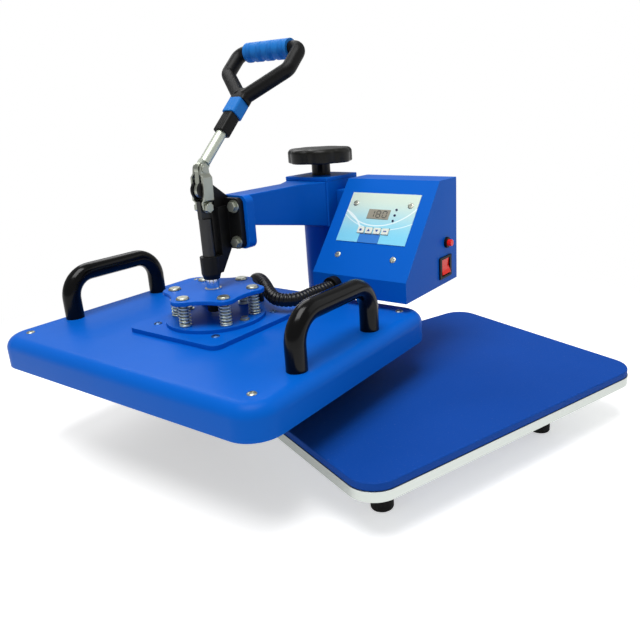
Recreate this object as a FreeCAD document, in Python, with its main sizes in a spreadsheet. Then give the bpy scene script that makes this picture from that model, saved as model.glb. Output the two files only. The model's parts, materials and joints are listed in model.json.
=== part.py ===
import FreeCAD, Part
import math
import os
import re

import Sketcher

from FreeCAD import Placement, Rotation, Vector

# Driving dimensions in millimetres, and angles in degrees.
# The base frame stands on the bench under the middle of the lower platen: +X right, +Y back, +Z up.
# Pieces of the arm use the same numbers as if the arm were closed over the lower platen.
SIZES = {
    "shift_across": -98.2,
    "shift_back": 103.72,
    "swing_angle": 69.0,
    "column_back": 205.0,
    # lower platen and its stand
    "platen_length": 380.0,
    "platen_width": 290.0,
    "platen_corner": 28.0,
    "platen_low": 44.0,
    "platen_thick": 10.0,
    "pad_thick": 8.0,
    "pad_inset": 0.6,
    "rail_low": 25.0,
    "rail_size": 30.0,
    "rail_deep": 19.0,
    "rail_wall": 2.0,
    "rail_left": -140.0,
    "rail_right": 83.0,
    "rail_front": -112.0,
    "rail_back": 250.0,
    "foot_radius": 11.0,
    "foot_front": -95.0,
    "foot_rear": 233.0,
    "foot_screw": 3.0,
    "foot_screw_low": 12.0,
    "foot_screw_long": 26.0,
    "screw_slack": 0.2,
    "bolt_radius": 4.0,
    "bolt_head": 7.5,
    "bolt_head_tall": 5.3,
    "platen_bolt_y": 60.0,
    "platen_bolt_bite": 6.0,
    # column
    "base_plate_thick": 6.0,
    "base_plate_front": 158.0,
    "base_bolt_front": 170.0,
    "base_bolt_rear": 248.0,
    "base_bolt_long": 14.0,
    "post_radius": 26.7,
    "post_bore": 23.2,
    "post_top": 245.0,
    "post_nut_tall": 16.0,
    "running_gap": 0.05,
    "liner_radius": 29.0,
    "liner_top": 262.0,
    "liner_collar_low": 212.0,
    "collar_radius": 31.0,
    "sleeve_low": 214.5,
    "sleeve_half": 33.5,
    "sleeve_corner": 2.0,
    "turning_gap": 0.3,
    # pressure knob
    "knob_screw": 8.0,
    "knob_screw_low": 215.0,
    "knob_collar": 12.0,
    "knob_collar_tall": 6.0,
    "knob_low": 291.0,
    "knob_thick": 18.0,
    "knob_pitch": 20.0,
    "knob_lobe": 22.0,
    "knob_valley": 10.0,
    "knob_shoulder": 6.0,
    "knob_edge": 2.0,
    # arm
    "arm_top": 270.0,
    "arm_wall": 3.0,
    "beam_width": 32.0,
    "beam_front": 35.0,
    "beam_front_low": 239.0,
    "beam_rear_low": 214.6,
    "flare_front": 140.0,
    "cap_thick": 5.0,
    "bracket_width": 62.0,
    "bracket_low": 214.3,
    "bracket_top": 272.0,
    "bracket_front": 31.0,
    "bracket_rear": 42.0,
    "bracket_wall": 4.0,
    "bracket_corner": 8.0,
    # toggle casting
    "flange_width": 53.0,
    "flange_low": 215.3,
    "flange_top": 270.0,
    "flange_front": 24.0,
    "flange_corner": 6.0,
    "flange_bolt_x": 19.5,
    "flange_bolt_low": 222.5,
    "flange_bolt_top": 261.3,
    "flange_washer": 7.0,
    "flange_washer_thick": 1.4,
    "flange_head": 5.4,
    "flange_head_tall": 3.6,
    "guide_radius": 10.5,
    "guide_tip": 8.6,
    "guide_taper": 6.0,
    "guide_low": 186.0,
    "guide_top": 210.5,
    "web_inset": 2.0,
    "rib_width": 20.0,
    "rib_front": 10.0,
    "rib_top": 262.0,
    "cheek_inner": 3.4,
    "cheek_thick": 2.9,
    "cheek_radius": 10.0,
    "wing_top_turn": 64.0,
    "wing_low_turn": 42.0,
    "wing_root": 2.0,
    "wing_drop": 14.0,
    # toggle
    "pivot_height": 281.0,
    "pivot_pin": 4.0,
    "knuckle_y": 1.7,
    "knuckle_height": 302.6,
    "knuckle_radius": 6.8,
    "knuckle_width": 6.0,
    "tongue_width": 6.0,
    "tongue_half": 6.0,
    "tongue_eye": 8.5,
    "joint_height": 263.0,
    "link_half": 6.6,
    "link_eye": 5.6,
    "link_thick": 2.5,
    "link_inner": 3.5,
    "link_bow": 3.2,
    "link_narrow_top": 4.5,
    "link_wide_top": 8.5,
    "link_wide_low": 31.9,
    "link_narrow_low": 34.6,
    "link_pin_proud": 0.8,
    "link_nut": 5.4,
    "link_nut_tall": 3.5,
    # plunger
    "plunger_radius": 7.0,
    "plunger_low": 169.5,
    "plunger_rim": 251.0,
    "plunger_head_width": 6.0,
    "plunger_head_top": 270.0,
    "washer_radius": 9.0,
    "washer_thick": 1.5,
    "spider_thick": 4.5,
    "spider_pitch": 43.0,
    "spider_lobe": 12.5,
    "spider_valley": 50.0,
    "spider_edge": 0.8,
    "core_radius": 8.5,
    "core_tall": 19.5,
    # handle, measured along the lever from the knuckle
    "handle_lean": 45.4,
    "rod_radius": 5.75,
    "rod_start": 8.0,
    "rod_overlap": 1.0,
    "rod_end": 90.0,
    "socket_start": 48.0,
    "socket_width": 15.0,
    "socket_corner": 3.5,
    "ring_start": 73.0,
    "ring_width": 17.5,
    "ring_corner": 3.5,
    "fork_start": 92.0,
    "fork_block": 14.0,
    "fork_block_width": 22.0,
    "fork_block_deep": 15.0,
    "fork_block_corner": 4.0,
    "fork_root": 4.0,
    "fork_tube": 8.0,
    "fork_half": 45.0,
    "fork_shoulder": 138.0,
    "fork_bend": 9.5,
    "grip_along": 171.0,
    "grip_core": 6.0,
    "grip_radius": 11.0,
    "grip_half": 32.0,
    "grip_groove": 5.0,
    "grip_groove_ring": 15.0,
    "grip_groove_drop": 2.0,
    # heated platen
    "heater_low": 102.5,
    "heater_thick": 12.5,
    "heater_inset": 3.2,
    "cover_low": 104.0,
    "cover_top": 136.0,
    "cover_wall": 1.5,
    "cover_corner": 30.0,
    "cover_edge": 13.0,
    "cover_screw_x": 163.5,
    "cover_screw_y": 119.0,
    "insulation_low": 121.8,
    "insulation_thick": 7.0,
    "pillar_radius": 6.0,
    "element_radius": 3.2,
    "element_reach": 140.0,
    "element_step": 60.0,
    "element_bend": 20.0,
    "sensor_radius": 2.8,
    "sensor_long": 40.0,
    "square_size": 133.0,
    "square_thick": 5.0,
    "square_corner": 10.0,
    "square_screw": 44.0,
    "screw_radius": 3.0,
    "screw_head": 4.5,
    "screw_head_tall": 1.6,
    "disc_radius": 53.5,
    "disc_thick": 4.0,
    "disc_bolt_radius": 2.5,
    "disc_bolt_long": 7.0,
    "disc_bolt_head": 4.0,
    "disc_bolt_tall": 2.6,
    "disc_washer": 5.4,
    "disc_washer_thick": 1.0,
    "spring_radius": 5.5,
    "spring_wire": 0.95,
    "spring_turns": 6.5,
    "spring_bolt_head": 7.2,
    "spring_bolt_top": 5.8,
    "spring_bolt_tall": 2.6,
    "grab_x": 166.0,
    "grab_front": -64.0,
    "grab_rear": 54.0,
    "grab_height": 186.0,
    "grab_tube": 10.0,
    "grab_wall": 2.0,
    "grab_bend": 27.0,
    # hose
    "hose_radius": 7.5,
    "gland_radius": 11.0,
    "gland_bore": 7.8,
    "gland_tall": 10.0,
    "gland_x": -16.0,
    "gland_y": 78.0,
    "box_gland_x": 80.0,
    "box_gland_height": 158.5,
    "box_gland_long": 10.0,
    # control box
    "box_left": 48.0,
    "box_right": 176.0,
    "box_front": 114.0,
    "box_ridge": 198.0,
    "box_back": 240.0,
    "box_low": 147.0,
    "box_lip": 171.0,
    "box_top": 272.0,
    "box_wall": 1.5,
    "ridge_ease": 0.7,
    "lip_ease": 0.5,
    "back_screw_inset": 8.0,
    "mount_front": 190.0,
    "mount_rear": 220.0,
    "mount_low": 217.0,
    "mount_top": 258.0,
    "overlay_width": 95.0,
    "overlay_low": 44.0,
    "overlay_high": 111.0,
    "overlay_thick": 0.8,
    "display_x": -1.0,
    "display_y": 82.3,
    "display_width": 30.0,
    "display_height": 13.0,
    "display_thick": 1.4,
    "lamp_x": 21.2,
    "lamp_top": 89.6,
    "lamp_step": 7.4,
    "lamp_radius": 1.6,
    "lamp_tall": 1.6,
    "button_x": -17.5,
    "button_y": 60.0,
    "button_step": 11.2,
    "button_width": 9.4,
    "button_height": 8.4,
    "button_corner": 1.4,
    "button_gap": 0.4,
    "button_tall": 2.0,
    "button_deep": 4.0,
    "panel_screw_x": 38.0,
    "panel_screw_low": 26.0,
    "panel_screw_top": 96.0,
    "panel_screw_head": 4.0,
    "panel_screw_tall": 1.2,
    "switch_y": 208.0,
    "switch_height": 168.0,
    "switch_width": 30.0,
    "switch_tall": 26.0,
    "switch_deep": 13.0,
    "switch_lip": 2.0,
    "switch_side": 2.0,
    "switch_over": 1.0,
    "switch_mouth": 10.3,
    "switch_mouth_deep": 8.5,
    "rocker_width": 20.0,
    "rocker_pivot": 5.0,
    "rocker_tilt": 8.0,
    "rocker_pin": 1.5,
    "rocker_pin_out": 1.8,
    "rocker_back": 2.5,
    "rocker_root": 5.0,
    "rocker_shoulder": 3.0,
    "rocker_reach": 9.0,
    "rocker_rise": 7.2,
    "rocker_dip": 5.0,
    "breaker_y": 213.0,
    "breaker_height": 197.0,
    "breaker_radius": 6.5,
    "breaker_lip": 3.0,
    "breaker_deep": 24.0,
    "breaker_floor": 6.0,
    "reset_radius": 4.0,
    "reset_out": 8.0,
    "reset_in": 10.0,
    "inlet_width": 30.0,
    "inlet_height": 24.0,
    "inlet_deep": 22.0,
    "inlet_lip": 3.0,
    "inlet_rim": 1.5,
    "inlet_mouth_width": 24.0,
    "inlet_mouth_height": 17.0,
    "inlet_mouth_deep": 16.0,
    "inlet_z": 172.0,
    "pin_long": 12.0,
    "pin_wide": 2.0,
    "pin_tall": 4.0,
    "pin_step": 7.0,
    "board_gap": 12.0,
    "board_thick": 1.6,
    "transformer_side": 4.0,
    "transformer_back": 6.0,
    "transformer_size": 44.0,
}

# The hose's route in the arm's frame, point by point from the heated platen to the control box.
HOSE_ROUTE = (
    (-16.0, 78.0, 139.0),
    (-16.0, 78.0, 150.0),
    (-9.5, 75.0, 163.0),
    (5.5, 67.5, 168.5),
    (21.0, 57.5, 166.7),
    (34.5, 50.0, 158.7),
    (49.0, 43.5, 153.0),
    (65.0, 49.0, 151.5),
    (72.0, 63.0, 152.0),
    (73.5, 79.0, 155.0),
    (80.0, 93.5, 158.5),
    (80.0, 114.0, 158.5),
)
SHEET = "Sizes"
WORD = re.compile(r"[a-z]+(?:_[a-z]+)*")
TURNS = {
    "x": Rotation(Vector(0, 1, 0), 90),
    "y": Rotation(Vector(1, 0, 0), -90),
    "z": Rotation(),
}
EPS = 1e-4
SPRINGS = 6
FIRST_SPRING = -90
DISC_BOLTS = 2
KNOB_LOBES = 7
GRIP_GROOVES = 4
ELEMENT_ROWS = 4
LAMPS = 3
KEYS = 4
INLET_PINS = 3
BOX_MIDDLE = "(box_left + box_right) / 2"
SWITCH_LOW = ("switch_y - switch_width / 2 + switch_side", "switch_height - switch_tall / 2 + switch_over")
SWITCH_SIZE = ("switch_width - 2 * switch_side", "switch_tall - 2 * switch_over")

doc = FreeCAD.newDocument("heat_press")
sheet = doc.addObject("Spreadsheet::Sheet", SHEET)
for row, (alias, number) in enumerate(SIZES.items(), start=1):
    sheet.set("A%d" % row, alias)
    sheet.set("B%d" % row, str(number))
    sheet.setAlias("B%d" % row, alias)
doc.recompute()


def mm(alias):
    """A size read back from the sheet."""
    return float(sheet.get(alias))


def cells(text):
    """An expression in which every word that names a size points at its cell."""
    def cell(match):
        word = match.group()
        return SHEET + "." + word if word in SIZES else word
    return WORD.sub(cell, str(text))


def bind(obj, **expressions):
    """Bind properties of an object to expressions on the sheet."""
    for name, text in expressions.items():
        obj.setExpression(name.replace("__", "."), cells(text))


def place(obj, corner, along="z"):
    """Turn an object to its axis and bind its place to the sheet."""
    obj.Placement = Placement(Vector(), TURNS[along])
    across, back, up = corner
    bind(obj, Placement__Base__x=across, Placement__Base__y=back, Placement__Base__z=up)
    return obj


def box(name, corner, extent):
    """A block from its low corner and its three lengths."""
    obj = doc.addObject("Part::Box", name)
    bind(obj, Length=extent[0], Width=extent[1], Height=extent[2])
    return place(obj, corner)


def rod(name, start, radius, length, along="z"):
    """A round bar from the middle of its low end."""
    obj = doc.addObject("Part::Cylinder", name)
    bind(obj, Radius=radius, Height=length)
    return place(obj, start, along)


def cone(name, start, low_radius, high_radius, length):
    """A round bar that widens or narrows upwards."""
    obj = doc.addObject("Part::Cone", name)
    bind(obj, Radius1=low_radius, Radius2=high_radius, Height=length)
    return place(obj, start)


def hexagon(name, start, radius, length, along="z"):
    """A six-sided bolt head or nut."""
    obj = doc.addObject("Part::Prism", name)
    obj.Polygon = 6
    bind(obj, Circumradius=radius, Height=length)
    return place(obj, start, along)


def cut(name, base, *tools):
    """The base with every tool taken away."""
    for index, tool in enumerate(tools):
        obj = doc.addObject("Part::Cut", "%s_cut%d" % (name, index))
        obj.Base = base
        obj.Tool = tool
        base = obj
    return base


def fuse(name, *pieces):
    """Pieces that are welded, cast or moulded in one."""
    obj = doc.addObject("Part::MultiFuse", name + "_whole")
    obj.Shapes = list(pieces)
    return obj


def tube(name, start, radius, bore, length, along="z"):
    """A round tube."""
    outer = rod(name + "_outer", start, radius, length, along)
    inner = rod(name + "_bore", start, bore, length, along)
    return cut(name, outer, inner)


def shaped(name, shape):
    """A shape with its own curves, kept as an object of the document."""
    obj = doc.addObject("Part::Feature", name)
    obj.Shape = shape
    return obj


def sketch_on(body, name, role):
    """An empty sketch on one of the body's own origin planes."""
    sketch = body.newObject("Sketcher::SketchObject", name + "_sketch")
    plane = [item for item in body.Origin.OriginFeatures if item.Role == role][0]
    sketch.AttachmentSupport = (plane, [""])
    sketch.MapMode = "FlatFace"
    return sketch


def outline(sketch, corners):
    """A closed outline whose corners are bound to the sheet."""
    count = len(corners)
    turns = [2 * math.pi * index / count for index in range(count)]
    spots = [Vector(math.cos(turn), math.sin(turn)) for turn in turns]
    for index in range(count):
        sketch.addGeometry(Part.LineSegment(spots[index], spots[(index + 1) % count]), False)
    for index in range(count):
        sketch.addConstraint(Sketcher.Constraint("Coincident", index, 2, (index + 1) % count, 1))
    for index, (across, up) in enumerate(corners):
        for kind, text, start in (("DistanceX", across, spots[index].x), ("DistanceY", up, spots[index].y)):
            at = sketch.addConstraint(Sketcher.Constraint(kind, -1, 1, index, 1, start))
            sketch.setExpression("Constraints[%d]" % at, cells(text))


def prism(name, role, corners, start, depth):
    """A straight-sided piece from an outline on a plane, padded along the plane's normal."""
    body = doc.addObject("PartDesign::Body", name + "_body")
    sketch = sketch_on(body, name, role)
    outline(sketch, corners)
    bind(sketch, AttachmentOffset__Base__z=start)
    pad = body.newObject("PartDesign::Pad", name + "_pad")
    pad.Profile = sketch
    bind(pad, Length=depth)
    body.Tip = pad
    doc.recompute()
    return body


def edges_of(shape, test):
    """Names of a shape's edges that pass a test."""
    return ["Edge%d" % (i + 1) for i, edge in enumerate(shape.Edges) if test(edge)]


def is_upright(edge):
    """Whether an edge is a straight one along the plate's thickness."""
    ends = [vertex.Point for vertex in edge.Vertexes]
    if len(ends) < 2:
        return False
    along = ends[1] - ends[0]
    return abs(along.z) > EPS and math.hypot(along.x, along.y) < EPS


def fillet(body, name, test, radius):
    """Round the edges of a body's tip that pass a test."""
    base = body.Tip
    obj = body.newObject("PartDesign::Fillet", name + "_fillet")
    obj.Base = (base, edges_of(base.Shape, test))
    bind(obj, Radius=radius)
    body.Tip = obj
    doc.recompute()


def plate(name, middle, size, thickness, corner, edge=None, along="z"):
    """A flat plate with round corners, and a round top edge where one is given."""
    half_x = "(%s) / 2" % size[0]
    half_y = "(%s) / 2" % size[1]
    corners = [("-" + half_x, "-" + half_y), (half_x, "-" + half_y), (half_x, half_y), ("-" + half_x, half_y)]
    body = prism(name, "XY_Plane", corners, "0", thickness)
    fillet(body, name + "_corner", is_upright, corner)
    if edge:
        top = body.Shape.BoundBox.ZMax
        fillet(body, name + "_edge", lambda item: item.BoundBox.ZMin > top - EPS, edge)
    return place(body, middle, along)


def node(label, frame, *pieces):
    """One piece of the press: its solids together, with the place of its group."""
    obj = doc.addObject("Part::Compound", label)
    obj.Label = label
    obj.Links = list(pieces)
    obj.Placement = frame
    nodes.append(obj)
    return obj


def bent_path(points, radius=None, reach=0.45):
    """Straight runs joined by tangent arcs, and the smallest arc's radius."""
    edges = []
    radii = []
    last = points[0]
    for before, here, after in zip(points, points[1:], points[2:]):
        come = (here - before).normalize()
        leave = (after - here).normalize()
        turn = come.getAngle(leave)
        shorter = min((here - before).Length, (after - here).Length)
        bend = radius if radius else reach * shorter / math.tan(turn / 2)
        back = bend * math.tan(turn / 2)
        start = here - come * back
        end = here + leave * back
        inward = (leave - come).normalize()
        middle = here + inward * (bend / math.cos(turn / 2) - bend)
        edges.append(Part.LineSegment(last, start).toShape())
        edges.append(Part.Arc(start, middle, end).toShape())
        radii.append(bend)
        last = end
    edges.append(Part.LineSegment(last, points[-1]).toShape())
    return Part.Wire(edges), min(radii)


def sweep(path, radius):
    """A round solid along a path."""
    first = path.Edges[0]
    start = first.valueAt(first.FirstParameter)
    heading = first.tangentAt(first.FirstParameter)
    ring = Part.Wire(Part.makeCircle(radius, start, heading))
    return path.makePipeShell([ring], True, False)


def lobed_disc(name, count, family, low, thickness, start_angle):
    """A disc with round lobes and hollow arcs between them, each tangent to the next."""
    pitch = mm(family + "_pitch")
    lobe = mm(family + "_lobe")
    valley = mm(family + "_valley")
    height = mm(low)
    half = math.pi / count
    far = pitch * math.cos(half) + math.sqrt((lobe + valley) ** 2 - (pitch * math.sin(half)) ** 2)

    def polar(radius, angle):
        return Vector(radius * math.cos(angle), radius * math.sin(angle), height)

    arcs = []
    for index in range(count):
        angle = math.radians(start_angle) + 2 * half * index
        centre = polar(pitch, angle)
        before = centre + (polar(far, angle - half) - centre).normalize() * lobe
        after = centre + (polar(far, angle + half) - centre).normalize() * lobe
        following = polar(pitch, angle + 2 * half)
        onward = following + (polar(far, angle + half) - following).normalize() * lobe
        arcs.append(Part.Arc(before, polar(pitch + lobe, angle), after).toShape())
        arcs.append(Part.Arc(after, polar(far - valley, angle + half), onward).toShape())
    return shaped(name, Part.Face(Part.Wire(arcs)).extrude(Vector(0, 0, mm(thickness))))


def soften(disc, size, top):
    """Round the upper or the lower rim of a flat disc."""
    box_of = disc.Shape.BoundBox
    height = box_of.ZMax if top else box_of.ZMin
    rim = [edge for edge in disc.Shape.Edges
           if abs(edge.BoundBox.ZMin - height) < EPS and abs(edge.BoundBox.ZMax - height) < EPS]
    disc.Shape = disc.Shape.makeFillet(mm(size), rim)


def around(radius, count, index, start=FIRST_SPRING):
    """Two expressions for a place on a circle."""
    angle = start + index * 360 / count
    return "(%s) * cos(%g deg)" % (radius, angle), "(%s) * sin(%g deg)" % (radius, angle)


def corners_of(across, back):
    """Four places about the middle, as pairs of expressions."""
    return [(a, b) for a in ("-(%s)" % across, across) for b in ("-(%s)" % back, back)]


nodes = []
SHIFT = Placement(Vector(-mm("shift_across"), -mm("shift_back"), 0), Rotation())
SWING = Placement(Vector(), Rotation(Vector(0, 0, 1), -mm("swing_angle")), Vector(0, mm("column_back"), 0))
BASE = SHIFT
ARM = SHIFT * SWING

slope_run = mm("box_ridge") - mm("box_front")
slope_rise = mm("box_top") - mm("box_lip")
slope_angle = math.degrees(math.atan2(slope_rise, slope_run))
panel_middle = (mm("box_left") + mm("box_right")) / 2
PANEL_PLACE = Placement(Vector(panel_middle, mm("box_front"), mm("box_lip")),
                        Rotation(Vector(1, 0, 0), slope_angle))
PANEL = ARM * PANEL_PLACE

knuckle_point = Vector(0, mm("knuckle_y"), mm("knuckle_height"))
LEVER = ARM * Placement(knuckle_point, Rotation(Vector(1, 0, 0), -mm("handle_lean")))
link_drop = mm("knuckle_height") - mm("joint_height")
link_tilt = math.degrees(math.atan2(-mm("knuckle_y"), link_drop))
LINK = ARM * Placement(knuckle_point, Rotation(Vector(1, 0, 0), link_tilt))


def make_rails():
    """The two square rails, closed at both ends, and the crossbars between them."""
    deep = "rail_deep - 2 * rail_wall"
    for side in ("left", "right"):
        name = side + "_rail"
        middle = "rail_" + side
        near = middle + " - rail_size / 2"
        skin = box(name + "_skin", (near, "rail_front", "rail_low"),
                   ("rail_size", "rail_back - rail_front", "rail_deep"))
        hollow = box(
            name + "_hollow", (near + " + rail_wall", "rail_front + rail_wall", "rail_low + rail_wall"),
            ("rail_size - 2 * rail_wall", "rail_back - rail_front - 2 * rail_wall", deep),
        )
        tools = [hollow]
        for index, y in enumerate(("foot_front", "foot_rear")):
            spot = (middle, y, "rail_low")
            tools.append(rod("%s_foot_hole%d" % (name, index), spot, "foot_screw + screw_slack", "rail_wall"))
        for index, y in enumerate(("-platen_bolt_y", "platen_bolt_y")):
            spot = (middle, y, "rail_low")
            hole_name = "%s_bolt_hole%d" % (name, index)
            tools.append(rod(hole_name, spot, "bolt_radius + screw_slack", "rail_deep"))
        for index, y in enumerate(("base_bolt_front", "base_bolt_rear")):
            spot = (middle, y, "rail_low + rail_wall")
            hole_name = "%s_top_hole%d" % (name, index)
            tools.append(rod(hole_name, spot, "bolt_radius + screw_slack", "rail_deep"))
        node(name, BASE, cut(name, skin, *tools))
    gap = "rail_right - rail_left - rail_size"
    start = "rail_left + rail_size / 2"
    bars = []
    for name, front in (("front_crossbar", "rail_front"), ("rear_crossbar", "column_back - rail_size / 2")):
        skin = box(name + "_skin", (start, front, "rail_low"), (gap, "rail_size", "rail_deep"))
        hollow = box(name + "_hollow", (start, front + " + rail_wall", "rail_low + rail_wall"),
                     (gap, "rail_size - 2 * rail_wall", deep))
        bars.append(cut(name, skin, hollow))
    node("crossbars", BASE, *bars)


def make_base():
    """Rubber feet, the lower platen with its pad, the base plate, their bolts and the column's fixed post."""
    sides = ("rail_left", "rail_right")
    feet = [(side, y) for side in sides for y in ("foot_front", "foot_rear")]
    bolts = [(side, sign + "platen_bolt_y") for side in sides for sign in ("-", "")]
    plate_bolts = [(side, y) for side in sides for y in ("base_bolt_front", "base_bolt_rear")]
    slack = " + screw_slack"
    rubber = []
    fasteners = []
    for index, (x, y) in enumerate(feet):
        foot = rod("foot%d" % index, (x, y, "0"), "foot_radius", "rail_low")
        hole = rod("foot_hole%d" % index, (x, y, "foot_screw_low"), "foot_screw" + slack, "foot_screw_long")
        rubber.append(cut("foot%d" % index, foot, hole))
        spot = (x, y, "foot_screw_low")
        fasteners.append(rod("foot_screw%d" % index, spot, "foot_screw", "foot_screw_long"))
    node("rubber_feet", BASE, *rubber)

    size = ("platen_length", "platen_width")
    platen = plate("lower_platen", ("0", "0", "platen_low"), size, "platen_thick", "platen_corner")
    holes = [
        rod("platen_hole%d" % i, (x, y, "platen_low"), "bolt_radius" + slack, "platen_bolt_bite" + slack)
        for i, (x, y) in enumerate(bolts)
    ]
    node("lower_platen", BASE, cut("lower_platen", platen, *holes))
    pad_size = ("platen_length - 2 * pad_inset", "platen_width - 2 * pad_inset")
    pad_low = "platen_low + platen_thick"
    pad = plate("silicone_pad", ("0", "0", pad_low), pad_size, "pad_thick", "platen_corner")
    node("silicone_pad", BASE, pad)
    for index, (x, y) in enumerate(bolts):
        spot = (x, y, "rail_low - bolt_head_tall")
        head = hexagon("platen_bolt_head%d" % index, spot, "bolt_head", "bolt_head_tall")
        spot = (x, y, "rail_low")
        shank = rod("platen_bolt_shank%d" % index, spot, "bolt_radius", "rail_deep + platen_bolt_bite")
        fasteners.append(fuse("platen_bolt%d" % index, head, shank))

    thick = "base_plate_thick"
    low = "platen_low"
    top = "platen_low + base_plate_thick"
    base_plate = box(
        "base_plate_sheet", ("rail_left - rail_size / 2", "base_plate_front", low),
        ("rail_right - rail_left + rail_size", "rail_back + rail_size / 2 - base_plate_front", thick),
    )
    holes = [
        rod("base_plate_hole%d" % i, (x, y, low), "bolt_radius" + slack, thick)
        for i, (x, y) in enumerate(plate_bolts)
    ]
    node("base_plate", BASE, cut("base_plate", base_plate, *holes))
    for index, (x, y) in enumerate(plate_bolts):
        head = hexagon("base_bolt_head%d" % index, (x, y, top), "bolt_head", "bolt_head_tall")
        spot = (x, y, top + " - base_bolt_long")
        shank = rod("base_bolt_shank%d" % index, spot, "bolt_radius", "base_bolt_long")
        fasteners.append(fuse("base_bolt%d" % index, head, shank))
    node("frame_bolts", BASE, *fasteners)

    nut_start = ("0", "column_back", "post_top - post_nut_tall")
    nut = tube("post_nut", nut_start, "post_bore", "knob_screw + running_gap", "post_nut_tall")
    post = tube("post", ("0", "column_back", top), "post_radius", "post_bore", "post_top - (%s)" % top)
    node("column_post", BASE, fuse("post", post, nut))


def make_column():
    """The bush between post and sleeve, and the pressure knob with its screw."""
    bore = "post_radius + running_gap"
    bush = tube("bush", ("0", "column_back", "sleeve_low - turning_gap"), "liner_radius", bore,
                "liner_top - sleeve_low + turning_gap")
    collar = tube("bush_collar", ("0", "column_back", "liner_collar_low"), "collar_radius", bore,
                  "sleeve_low - liner_collar_low - turning_gap")
    node("post_liner", ARM, fuse("post_liner", bush, collar))

    cap_top = "arm_top + cap_thick + turning_gap"
    bite = "knob_low + knob_thick / 2"
    spot = ("0", "column_back", "knob_screw_low")
    screw = rod("lift_screw_thread", spot, "knob_screw", bite + " - knob_screw_low")
    spot = ("0", "column_back", "arm_top - turning_gap - knob_collar_tall")
    collar = rod("lift_screw_collar", spot, "knob_collar", "knob_collar_tall")
    node("lift_screw", ARM, fuse("lift_screw", screw, collar))
    disc = lobed_disc("knob_disc", KNOB_LOBES, "knob", "knob_low", "knob_thick", 0)
    soften(disc, "knob_shoulder", True)
    soften(disc, "knob_edge", False)
    disc.Placement = Placement(Vector(0, mm("column_back"), 0), Rotation())
    spot = ("0", "column_back", cap_top)
    hub = rod("knob_hub", spot, "knob_collar", "knob_low - (%s)" % cap_top)
    hole = rod("knob_hole", spot, "knob_screw", "%s - (%s)" % (bite, cap_top))
    node("pressure_knob", ARM, cut("pressure_knob", fuse("knob_body", disc, hub), hole))


def beam_form(name, inset):
    """The beam's form, tapered from the side and flared in plan, with its walls drawn in by an inset."""
    back = "column_back - sleeve_half"
    half = "beam_width / 2 - " + inset
    wide = "sleeve_half - sleeve_corner - " + inset
    side = prism(name + "_side", "YZ_Plane", [
        ("beam_front", "beam_front_low + " + inset), (back, "beam_rear_low + " + inset),
        (back, "arm_top - " + inset), ("beam_front", "arm_top - " + inset),
    ], "-sleeve_half", "2 * sleeve_half")
    plan = prism(name + "_plan", "XY_Plane", [
        ("-(%s)" % half, "beam_front"), (half, "beam_front"), (half, "flare_front"), (wide, back),
        ("-(%s)" % wide, back), ("-(%s)" % half, "flare_front"),
    ], "beam_rear_low", "arm_top - beam_rear_low")
    form = doc.addObject("Part::MultiCommon", name)
    form.Shapes = [side, plan]
    return form


def make_arm():
    """The square housing round the post, its cap, the flared beam and the pan at the beam's end."""
    square = ("2 * sleeve_half", "2 * sleeve_half")
    sleeve_start = ("0", "column_back", "sleeve_low")
    sleeve_tall = "arm_top - sleeve_low"
    housing = plate("sleeve_block", sleeve_start, square, sleeve_tall, "sleeve_corner")
    bore = rod("sleeve_bore", sleeve_start, "liner_radius + running_gap", sleeve_tall)
    node("swing_sleeve", ARM, cut("swing_sleeve", housing, bore))
    cap_start = ("0", "column_back", "arm_top")
    lid = plate("cap_plate", cap_start, square, "cap_thick", "sleeve_corner")
    hole = rod("cap_hole", cap_start, "knob_screw + running_gap", "cap_thick")
    node("sleeve_cap", ARM, cut("sleeve_cap", lid, hole))
    node("arm_beam", ARM, cut("arm_beam", beam_form("beam_skin", "0"), beam_form("beam_hollow", "arm_wall")))

    middle = "(bracket_low + bracket_top) / 2"
    tall = "bracket_top - bracket_low"
    deep = "bracket_rear - bracket_front"
    pan = plate("bracket_pan", ("0", "bracket_front", middle), ("bracket_width", tall), deep,
                "bracket_corner", along="y")
    inner_size = ("bracket_width - 2 * bracket_wall", tall + " - 2 * bracket_wall")
    inner = plate("bracket_inner", ("0", "bracket_front + bracket_wall", middle), inner_size, deep,
                  "bracket_corner - bracket_wall", along="y")
    notch = box("bracket_notch", ("-beam_width / 2", "beam_front", "beam_front_low - arm_wall"),
                ("beam_width", deep, "bracket_top"))
    holes = [
        rod("bracket_hole%d" % i, (x, "bracket_front", z), "bolt_radius + screw_slack", "bracket_wall", "y")
        for i, (x, z) in enumerate(flange_spots())
    ]
    node("arm_bracket", ARM, cut("arm_bracket", pan, inner, notch, *holes))


def flange_spots():
    """The four places of the casting's bolts."""
    heights = ("flange_bolt_low", "flange_bolt_top")
    return [(x, z) for x in ("-flange_bolt_x", "flange_bolt_x") for z in heights]


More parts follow.
